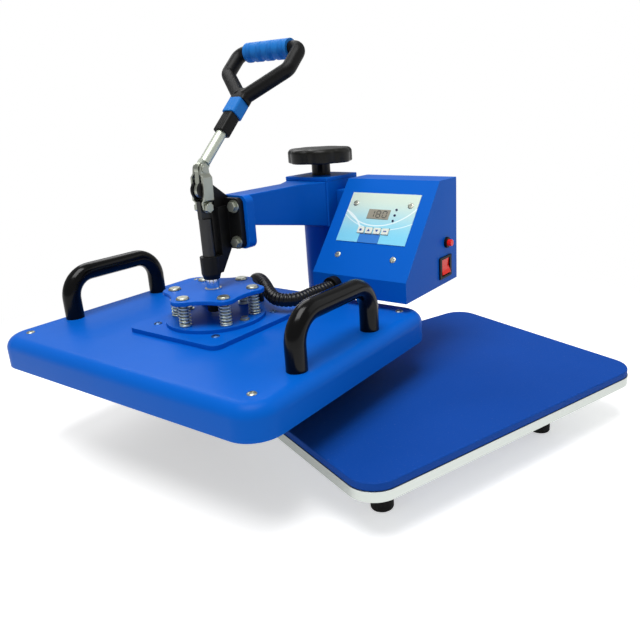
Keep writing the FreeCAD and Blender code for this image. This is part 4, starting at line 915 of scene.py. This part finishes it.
def joined(name: str, pieces: Sequence[bpy.types.Object]) -> bpy.types.Object:
    """Several pieces made into one, each with its own finish.

    Args:
        name: the new piece's name.
        pieces: the pieces, which are removed.

    Returns:
        The new piece.
    """
    build = bmesh.new()
    finishes = []
    for piece in pieces:
        start = len(build.faces)
        build.from_mesh(piece.data)
        build.faces.ensure_lookup_table()
        for face in build.faces[start:]:
            face.material_index = len(finishes)
        finishes.append(piece.data.materials[0])
        bpy.data.objects.remove(piece)
    mesh = meshed(name, build)
    for finish in finishes:
        mesh.materials.append(finish)
    smooth(mesh)
    return linked(name, mesh)


def slabs(name: str, outlines: Sequence[Outline], low: float, high: float, place: Matrix,
          finish: Finish) -> bpy.types.Object:
    """Thin flat pieces from outlines.

    Args:
        name: the piece's name.
        outlines: corners of each piece, anticlockwise, in millimetres.
        low: the height of their undersides.
        high: the height of their tops.
        place: the frame that they are given in.
        finish: what they wear.

    Returns:
        The piece.
    """
    build = bmesh.new()
    for corners in outlines:
        under = [build.verts.new((x, y, low)) for x, y in corners]
        over = [build.verts.new((x, y, high)) for x, y in corners]
        build.faces.new(over)
        build.faces.new(under[::-1])
        for index, corner in enumerate(under):
            after = (index + 1) % len(under)
            build.faces.new((corner, under[after], over[after], over[index]))
    mesh = meshed(name, build)
    mesh.transform(place)
    piece = linked(name, mesh)
    wear(piece, finish)
    return piece


def ring_of(radius: float, count: int, height: float, first: float = 0.0) -> list[Point]:
    """Points evenly round the Z axis."""
    turns = [math.radians(first + 360.0 * index / count) for index in range(count)]
    return [(radius * math.cos(angle), radius * math.sin(angle), height) for angle in turns]


def four(x: float, y: float, z: float) -> list[Point]:
    """The four corners of an oblong round the Z axis."""
    return [(i * x, j * y, z) for i in (-1, 1) for j in (-1, 1)]


def screw_sizes(radius: float, tall: float, recess: float) -> Sizes:
    """The sizes of a cross screw, with its recess as a share of its radius."""
    return {"Radius": radius, "Tall": tall, "Recess": radius * recess}


@dataclass(frozen=True)
class Stand:
    """The rails, feet and bolts, and the lower platen with its pad."""

    rail_edge: float = 0.6
    foot_edge: float = 1.2
    bolt_edge: float = 0.5
    plate_edge: float = 0.8
    platen_edge: float = 0.9
    pad_edge: float = 1.2

    def build(self) -> None:
        """Dresses the welded frame, what it stands on, and the lower platen."""
        dress(RAIL_PAINT, self.rail_edge, "left_rail", "right_rail", "crossbars")
        dress(BLACK_RUBBER, self.foot_edge, "rubber_feet")
        dress(ZINC, self.bolt_edge, "frame_bolts")
        dress(RAIL_PAINT, self.plate_edge, "base_plate")
        dress(ALUMINIUM, self.platen_edge, "lower_platen")
        dress(PAD_RUBBER, self.pad_edge, "silicone_pad")


@dataclass(frozen=True)
class Column:
    """The post, its bush, the pressure knob and the lift screw."""

    post_edge: float = 0.6
    knob_edge: float = 0.0
    bush_edge: float = 0.3

    def build(self) -> None:
        """Builds the column."""
        dress(BLUE_PAINT, self.post_edge, "column_post")
        dress(BUSH_PAINT, self.bush_edge, "post_liner")
        dress(KNOB_PLASTIC, self.knob_edge, "pressure_knob")
        dress(DARK_STEEL, self.bush_edge, "lift_screw")


@dataclass(frozen=True)
class Arm:
    """The housing round the post, the beam, the pan at its end and the black casting."""

    housing_edge: float = 0.8
    beam_edge: float = 1.2
    pan_edge: float = 1.4
    casting_edge: float = 0.9
    bolt_edge: float = 0.6

    def build(self) -> None:
        """Builds the arm."""
        dress(BLUE_PAINT, self.housing_edge, "swing_sleeve", "sleeve_cap")
        dress(BLUE_PAINT, self.beam_edge, "arm_beam")
        dress(BLUE_PAINT, self.pan_edge, "arm_bracket")
        dress(BLUE_PAINT, self.housing_edge, "box_bracket")
        dress(CAST_BLACK, self.casting_edge, "toggle_casting")
        dress(ZINC, self.bolt_edge, "casting_bolts")


@dataclass(frozen=True)
class Lever:
    """The hand lever with its crank, socket, ring, fork and grip."""

    metal_edge: float = 0.5
    socket_edge: float = 0.8
    ring_edge: float = 0.6
    grip_edge: float = 0.4

    def build(self) -> None:
        """Builds the lever."""
        dress(ZINC, self.metal_edge, "lever_crank")
        dress(SATIN, self.metal_edge, "lever_rod")
        dress(BLACK_PLASTIC, self.socket_edge, "grip_socket")
        dress(BLUE_RUBBER, self.ring_edge, "grip_ring")
        dress(BLACK_PLASTIC, self.ring_edge, "grip_fork")
        dress(BLUE_RUBBER, self.grip_edge, "grip_bar")


@dataclass(frozen=True)
class Toggle:
    """The links and the plunger, whose shaft is bright below its guide and dark above."""

    link_edge: float = 0.4
    head_edge: float = 0.5
    shaft_edge: float = 0.0
    guide_top: float = 0.2105

    def shaft(self) -> None:
        """Dresses the shaft with its two finishes."""
        piece = refine("plunger_shaft", CHROME, self.shaft_edge, self.guide_top)
        piece.data.materials.append(DARK_STEEL.material())
        for face in piece.data.polygons:
            face.material_index = int(face.center.z > self.guide_top)

    def build(self) -> None:
        """Builds the toggle."""
        dress(ZINC, self.link_edge, "link_plates", "link_nuts")
        dress(DARK_STEEL, self.head_edge, "plunger_head")
        self.shaft()


@dataclass(frozen=True)
class SpringPack:
    """The spring plate on the plunger, and the disc, bolts and springs under it."""

    pitch: float = 43.0
    count: int = 6
    first: float = -90.0
    coil_radius: float = 5.5
    wire: float = 0.95
    turns: float = 6.5
    disc_top: float = 145.0
    plate_low: float = 169.5
    squeezed: float = 0.83
    plate_edge: float = 0.0
    disc_edge: float = 0.6
    bolt_edge: float = 0.7

    def springs(self) -> None:
        """Winds the springs."""
        sizes = {"Radius": self.coil_radius, "Wire": self.wire, "Turns": self.turns,
                 "Height": self.plate_low - self.disc_top}
        points = ring_of(self.pitch, self.count, self.disc_top, self.first)
        piece = grown("platen_springs", "coils", sizes, SPRING_ZINC, PLACES.arm(), points)
        piece.data.shade_smooth()
        attach(piece, "coil_springs")
        anchor = PLACES.arm() @ Vector((0, 0, self.disc_top))
        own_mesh(piece)

    def build(self) -> None:
        """Builds the spring pack."""
        dress(BLUE_PAINT, self.plate_edge, "spider_plate")
        dress(CAST_BLACK, self.disc_edge, "pressure_core")
        dress(ZINC, self.bolt_edge, "spring_bolts")
        dress(BLUE_PAINT, self.disc_edge, "bearing_disc")
        self.springs()


@dataclass(frozen=True)
class HeatedPlaten:
    """The heated platen under its pressed cover, with its screws, side handles and hose gland."""

    cover_top: float = 136.0
    plate_top: float = 141.0
    cover_screws: tuple[float, float] = (163.5, 119.0)
    plate_screws: float = 44.0
    screw: tuple[float, float, float] = (4.5, 1.6, 1.5)
    bolt_radius: float = 4.0
    bolt_tall: float = 2.6
    washer: float = 5.4
    washer_thick: float = 1.0
    pressed_edge: float = 0.0
    plate_edge: float = 0.9
    heater_edge: float = 0.5
    gland_edge: float = 0.8

    def screws(self) -> None:
        """Sets the cover's and the square plate's screws, and the disc's two bolts."""
        place = PLACES.arm()
        head = screw_sizes(*self.screw)
        bolt = {"Radius": self.bolt_radius, "Tall": self.bolt_tall, "Washer": self.washer,
                "Thick": self.washer_thick}
        cover = four(*self.cover_screws, self.cover_top)
        plate = four(self.plate_screws, self.plate_screws, self.plate_top)
        disc = ring_of(SpringPack.pitch, 2, SpringPack.disc_top)
        made = [grown("cover_heads", "cross_screws", head, SCREW_ZINC, place, cover),
                grown("plate_heads", "cross_screws", head, BLUE_STEEL, place, plate),
                grown("disc_heads", "hex_bolts", bolt, ZINC, place, disc)]
        attach(joined("platen_fixings", made), "platen_screws")

    def build(self) -> None:
        """Builds the heated platen."""
        dress(BLUE_PAINT, self.pressed_edge, "platen_cover")
        dress(BLUE_PAINT, self.plate_edge, "square_plate")
        dress(COATED, self.heater_edge, "heating_plate")
        dress(BLACK_PAINT, self.pressed_edge, "grab_handles")
        dress(BLACK_PLASTIC, self.gland_edge, "platen_gland")
        self.screws()
        keep("insulation", BOARD)
        keep("heating_element", STEEL)


@dataclass(frozen=True)
class Hose:
    """The corrugated hose that carries the heater's wires from the heated platen to the control box."""

    route: tuple[Point, ...] = (
        (-0.016, 0.078, 0.139), (-0.016, 0.078, 0.1545), (-0.0095, 0.075, 0.165), (0.0055, 0.0675, 0.1685),
        (0.021, 0.0575, 0.1675), (0.0345, 0.05, 0.1605), (0.049, 0.0435, 0.1562), (0.065, 0.049, 0.1552),
        (0.072, 0.063, 0.1556), (0.0735, 0.079, 0.157), (0.08, 0.0935, 0.1585), (0.08, 0.114, 0.1585))
    length: float = 0.1787
    valley: float = 0.0068
    ridge: float = 0.0077
    pitch: float = 0.0043

    def line(self) -> bpy.types.Object:
        """The smooth line of the hose, in metres.

        Returns:
            The curve, with no thickness.
        """
        curve = bpy.data.curves.new("hose_line", "CURVE")
        curve.dimensions = "3D"
        curve.resolution_u = 24
        spline = curve.splines.new("NURBS")
        spline.points.add(len(self.route) - 1)
        place = PLACES.arm() @ Matrix.Scale(1 / MM, 4)
        for point, spot in zip(spline.points, self.route):
            point.co = (*(place @ Vector(spot)), 1.0)
        spline.order_u = 3
        spline.use_endpoint_u = True
        return linked("hose_line", curve)

    def build(self) -> None:
        """Builds the hose, which runs between the plunger and the arm."""
        line = self.line()
        path = [tuple(vertex.co) for vertex in as_mesh(line).vertices]
        sizes = {"Valley": self.valley, "Ridge": self.ridge, "Pitch": self.pitch}
        run_rule(line, "ribs", sizes, HOSE_PLASTIC)
        mesh = as_mesh(line)
        bpy.data.objects.remove(line)
        piece = linked("ribbed_hose", mesh)
        wear(piece, HOSE_PLASTIC)
        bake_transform(piece)
        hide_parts("heater_hose")
        log.info("%s from plunger to arm, %d faces", piece.name, len(mesh.polygons))


class Segment(Enum):
    """The bars of a seven-bar digit, as start and end corners on a grid of one by two."""

    TOP = ((0, 2), (1, 2))
    TOP_LEFT = ((0, 1), (0, 2))
    TOP_RIGHT = ((1, 1), (1, 2))
    MIDDLE = ((0, 1), (1, 1))
    LOW_LEFT = ((0, 0), (0, 1))
    LOW_RIGHT = ((1, 0), (1, 1))
    LOW = ((0, 0), (1, 0))


DIGITS = {
    "0": "TOP TOP_LEFT TOP_RIGHT LOW_LEFT LOW_RIGHT LOW",
    "1": "TOP_RIGHT LOW_RIGHT",
    "8": "TOP TOP_LEFT TOP_RIGHT MIDDLE LOW_LEFT LOW_RIGHT LOW",
}


@dataclass(frozen=True)
class ControlBox:
    """The control box with its film, display, lamps, keys, screws, switch, breaker and power inlet."""

    left: float = 48.0
    right: float = 176.0
    back: float = 241.5
    low: float = 147.0
    top: float = 272.0
    inset: float = 8.0
    back_screw: tuple[float, float, float] = (4.5, 1.6, 1.15)
    panel_screw: tuple[float, float, float] = (4.0, 1.2, 1.5)
    panel_screw_x: float = 38.0
    panel_screw_low: float = 26.0
    panel_screw_top: float = 96.0
    film_thick: float = 0.8
    display_middle: tuple[float, float] = (-1.0, 82.3)
    display_top: float = 1.4
    digit: tuple[float, float] = (5.2, 4.3)
    digit_pitch: float = 8.6
    bar: float = 1.0
    bar_gap: float = 0.6
    shown: str = "180"
    ink: float = 0.12
    key_x: float = -17.5
    key_y: float = 60.0
    key_step: float = 11.2
    key_top: float = 2.0
    mark: float = 2.1
    ring_mark: float = 1.68
    ring_sides: int = 20
    wedge_low: float = 1.47
    dash_half: float = 0.735
    box_edge: float = 0.6
    part_edge: float = 0.5
    inlet_edge: float = 0.4
    round_edge: float = 0.8
    film_edge: float = 0.0
    window_edge: float = 0.3
    key_edge: float = 0.7

    def shell(self) -> None:
        """Dresses the sheet-metal box and what is set in it."""
        dress(BLUE_PAINT, self.box_edge, "control_box_shell")
        dress(BLUE_PAINT, self.part_edge, "control_box_back")
        keep("rocker_housing", BLACK_PLASTIC)
        dress(BLACK_PLASTIC, self.part_edge, "breaker")
        dress(BLACK_PLASTIC, self.inlet_edge, "power_inlet")
        dress(BLACK_PLASTIC, self.round_edge, "box_gland")
        dress(RED_LENS, self.part_edge, "rocker_switch")
        dress(RED_LENS, self.round_edge, "reset_button")
        keep("control_board", CIRCUIT)

    def screws(self) -> None:
        """Sets the screws of the panel and of the back cover."""
        low = [(side * self.panel_screw_x, self.panel_screw_low, 0.0) for side in (-1, 1)]
        top = [(side * self.panel_screw_x, self.panel_screw_top, self.film_thick) for side in (-1, 1)]
        spots = [(x, -z, 0.0) for x in (self.left + self.inset, self.right - self.inset)
                 for z in (self.low + self.inset, self.top - self.inset)]
        rear = PLACES.arm() @ shift(y=self.back) @ turn(-90, "X")
        rows = (("panel_heads", self.panel_screw, PLACES.panel(), low + top),
                ("back_heads", self.back_screw, rear, spots))
        made = [grown(name, "cross_screws", screw_sizes(*screw), SCREW_ZINC, place, points)
                for name, screw, place, points in rows]
        attach(joined("box_fixings", made), "box_screws")

    def ink_on(self, node: str, name: str, outlines: Sequence[Outline], height: float,
               finish: Finish) -> None:
        """Prints signs on a node of the panel.

        Args:
            node: the node that carries them.
            name: the new piece's name.
            outlines: the corners of each sign.
            height: the node's face above the panel.
            finish: the ink.
        """
        piece = slabs(name, outlines, height, height + self.ink, PLACES.panel(), finish)
        attach(piece, node, replaced=False)

    def digits(self) -> list[Outline]:
        """The bars of the number that the display shows.

        Returns:
            The corners of each bar.
        """
        wide, high = self.digit
        start = self.display_middle[0] - (len(self.shown) - 1) * self.digit_pitch / 2 - wide / 2
        low = self.display_middle[1] - high
        bars = []
        for index, character in enumerate(self.shown):
            x = start + index * self.digit_pitch
            for name in DIGITS[character].split():
                (x0, y0), (x1, y1) = Segment[name].value
                across = self.bar / 2 if x0 == x1 else -self.bar_gap
                rise = self.bar / 2 if y0 == y1 else -self.bar_gap
                left, right = x + x0 * wide - across, x + x1 * wide + across
                under, over = low + y0 * high - rise, low + y1 * high + rise
                bars.append([(left, under), (right, under), (right, over), (left, over)])
        return bars

    def display(self) -> None:
        """Dresses the film, the display and the lamps, and lays the digits on."""
        dress(PanelFilm(), self.film_edge, "panel_overlay")
        dress(PALE_WINDOW, self.window_edge, "display_window")
        dress(DARK_LENS, self.part_edge, "panel_lamps")
        self.ink_on("display_window", "display_digits", self.digits(), self.display_top, INK)

    def keys(self) -> None:
        """Dresses the keys and marks each with a plain sign."""
        size, low, half = self.mark, self.wedge_low, self.dash_half
        signs = (
            [(x, y) for x, y, _ in ring_of(self.ring_mark, self.ring_sides, 0.0)],
            [(-size, -low), (size, -low), (0, size)],
            [(-size, low), (0, -size), (size, low)],
            [(-size, -half), (size, -half), (size, half), (-size, half)],
        )
        for index, sign in enumerate(signs):
            node = "panel_button_%d" % (index + 1)
            dress(PALE_KEY, self.key_edge, node)
            x = self.key_x + index * self.key_step
            outline = [(x + across, self.key_y + up) for across, up in sign]
            self.ink_on(node, "key_sign_%d" % (index + 1), [outline], self.key_top, KEY_MARK)

    def build(self) -> None:
        """Builds the control box."""
        self.shell()
        self.screws()
        self.display()
        self.keys()


@dataclass(frozen=True)
class Studio:
    """Floor, light and the camera at the photograph's angle."""

    lens: float = 35.445
    sensor: float = 36.0
    frame_side: float = 640.0
    middle: tuple[float, float] = (372.97, 292.44)
    eye: Point = (509.3, -456.7, 357.3)
    yaw: float = 33.428
    pitch: float = 16.442
    roll: float = -2.48
    air_light: float = 0.34
    air_colour: Colour = (0.97, 0.98, 1.0)
    floor_half: float = 12.0
    floor_colour: Colour = (0.9, 0.9, 0.9)
    floor_lift: float = 0.5
    shadow_near: float = 0.3
    shadow_far: float = 0.75
    lamps: tuple[tuple[str, Point, Point, float, float], ...] = (
        ("key", (-0.45, -0.35, 2.1), (0, 0, 0.1), 1.3, 40.0),
        ("fill", (1.6, -0.8, 1.2), (0, 0, 0.15), 1.6, 5.0),
        ("back", (0.3, 1.6, 1.6), (0, 0, 0.2), 1.2, 12.0))

    def camera(self) -> None:
        """Sets the camera where the photograph was taken from."""
        data = bpy.data.cameras.new("view")
        data.lens = self.lens
        data.sensor_width = self.sensor
        data.shift_x = (self.frame_side / 2 - self.middle[0]) / self.frame_side
        data.shift_y = (self.middle[1] - self.frame_side / 2) / self.frame_side
        data.clip_end = 50.0
        camera = linked("view", data)
        yaw, pitch, roll = (math.radians(angle) for angle in (self.yaw, self.pitch, self.roll))
        flat = Vector((-math.sin(yaw), math.cos(yaw), 0))
        across = Vector((math.cos(yaw), math.sin(yaw), 0))
        ahead = flat * math.cos(pitch) - Vector((0, 0, math.sin(pitch)))
        up = flat * math.sin(pitch) + Vector((0, 0, math.cos(pitch)))
        right = across * math.cos(roll) + up * math.sin(roll)
        over = up * math.cos(roll) - across * math.sin(roll)
        axes = Matrix((right, over, -ahead)).transposed().to_4x4()
        place = PLACES.arm() @ Vector(self.eye)
        camera.matrix_world = Matrix.Translation(place) @ turn(PLACES.swing, "Z") @ axes
        bpy.context.scene.camera = camera

    def world(self) -> None:
        """A white backdrop for what sees it, and a softer light for the rest."""
        world = bpy.data.worlds.new("studio")
        bpy.context.scene.world = world
        graph = Graph.of(world)
        path = graph.add("ShaderNodeLightPath")
        seen = graph.math("MAXIMUM", path.outputs["Is Camera Ray"], path.outputs["Is Transmission Ray"])
        soft = graph.paint(self.air_light, self.air_colour, "Background")
        white = graph.paint(1.0, grey(1.0), "Background")
        mixed = graph.add("ShaderNodeMixShader", {0: seen, 1: soft, 2: white})
        graph.add("ShaderNodeOutputWorld", {"Surface": mixed})

    def floor(self) -> None:
        """A wide pale floor under the feet, which fades to white round the shadow."""
        mesh = bpy.data.meshes.new("floor")
        mesh.from_pydata(four(self.floor_half, self.floor_half, 0), [], [(0, 2, 3, 1)])
        made = bpy.data.materials.new("floor")
        graph = Graph.of(made)
        path = graph.add("ShaderNodeLightPath")
        spot = graph.add("ShaderNodeSeparateXYZ", {0: graph.place()})
        flat = graph.vector(spot.outputs["X"], spot.outputs["Y"])
        reach = graph.add("ShaderNodeVectorMath", {0: flat}, operation="LENGTH").outputs["Value"]
        plain = graph.add("ShaderNodeBsdfDiffuse", {"Color": rgba(self.floor_colour)})
        lift = graph.paint(self.floor_lift, grey(1.0), "Emission")
        both = graph.add("ShaderNodeAddShader", {0: plain, 1: lift})
        far = graph.ramp(reach, self.shadow_near, self.shadow_far)
        white = graph.paint(1.0, grey(1.0), "Emission")
        faded = graph.add("ShaderNodeMixShader", {0: far, 1: both, 2: white})
        seen = graph.math("MAXIMUM", path.outputs["Is Camera Ray"], path.outputs["Is Glossy Ray"])
        mixed = graph.add("ShaderNodeMixShader", {0: seen, 1: plain, 2: faded})
        graph.add("ShaderNodeOutputMaterial", {"Surface": mixed})
        mesh.materials.append(made)
        linked("floor", mesh)

    def lamp(self, name: str, place: Point, aim: Point, size: float, power: float) -> None:
        """One soft square lamp.

        Args:
            name: the lamp's name.
            place: where it hangs, in metres.
            aim: the point that it faces.
            size: its side in metres.
            power: its power in watts.
        """
        data = bpy.data.lights.new(name, "AREA")
        data.size = size
        data.energy = power
        lamp = linked(name, data)
        lamp.location = place
        lamp.rotation_mode = "QUATERNION"
        lamp.rotation_quaternion = (Vector(aim) - Vector(place)).to_track_quat("-Z", "Y")

    def build(self) -> None:
        """Sets the whole studio."""
        bpy.context.scene.view_settings.view_transform = "Standard"
        self.camera()
        self.world()
        self.floor()
        for row in self.lamps:
            self.lamp(*row)


def main() -> None:
    """Builds the press piece by piece."""
    logging.basicConfig(level=logging.INFO, format="%(message)s")
    groups = (Stand(), Column(), Arm(), Lever(), Toggle(), SpringPack(), HeatedPlaten(), ControlBox())
    for assembly in (Studio(), Hose(), *groups):
        assembly.build()
        log.info("%s done", type(assembly).__name__)


if __name__ == "__main__":
    main()
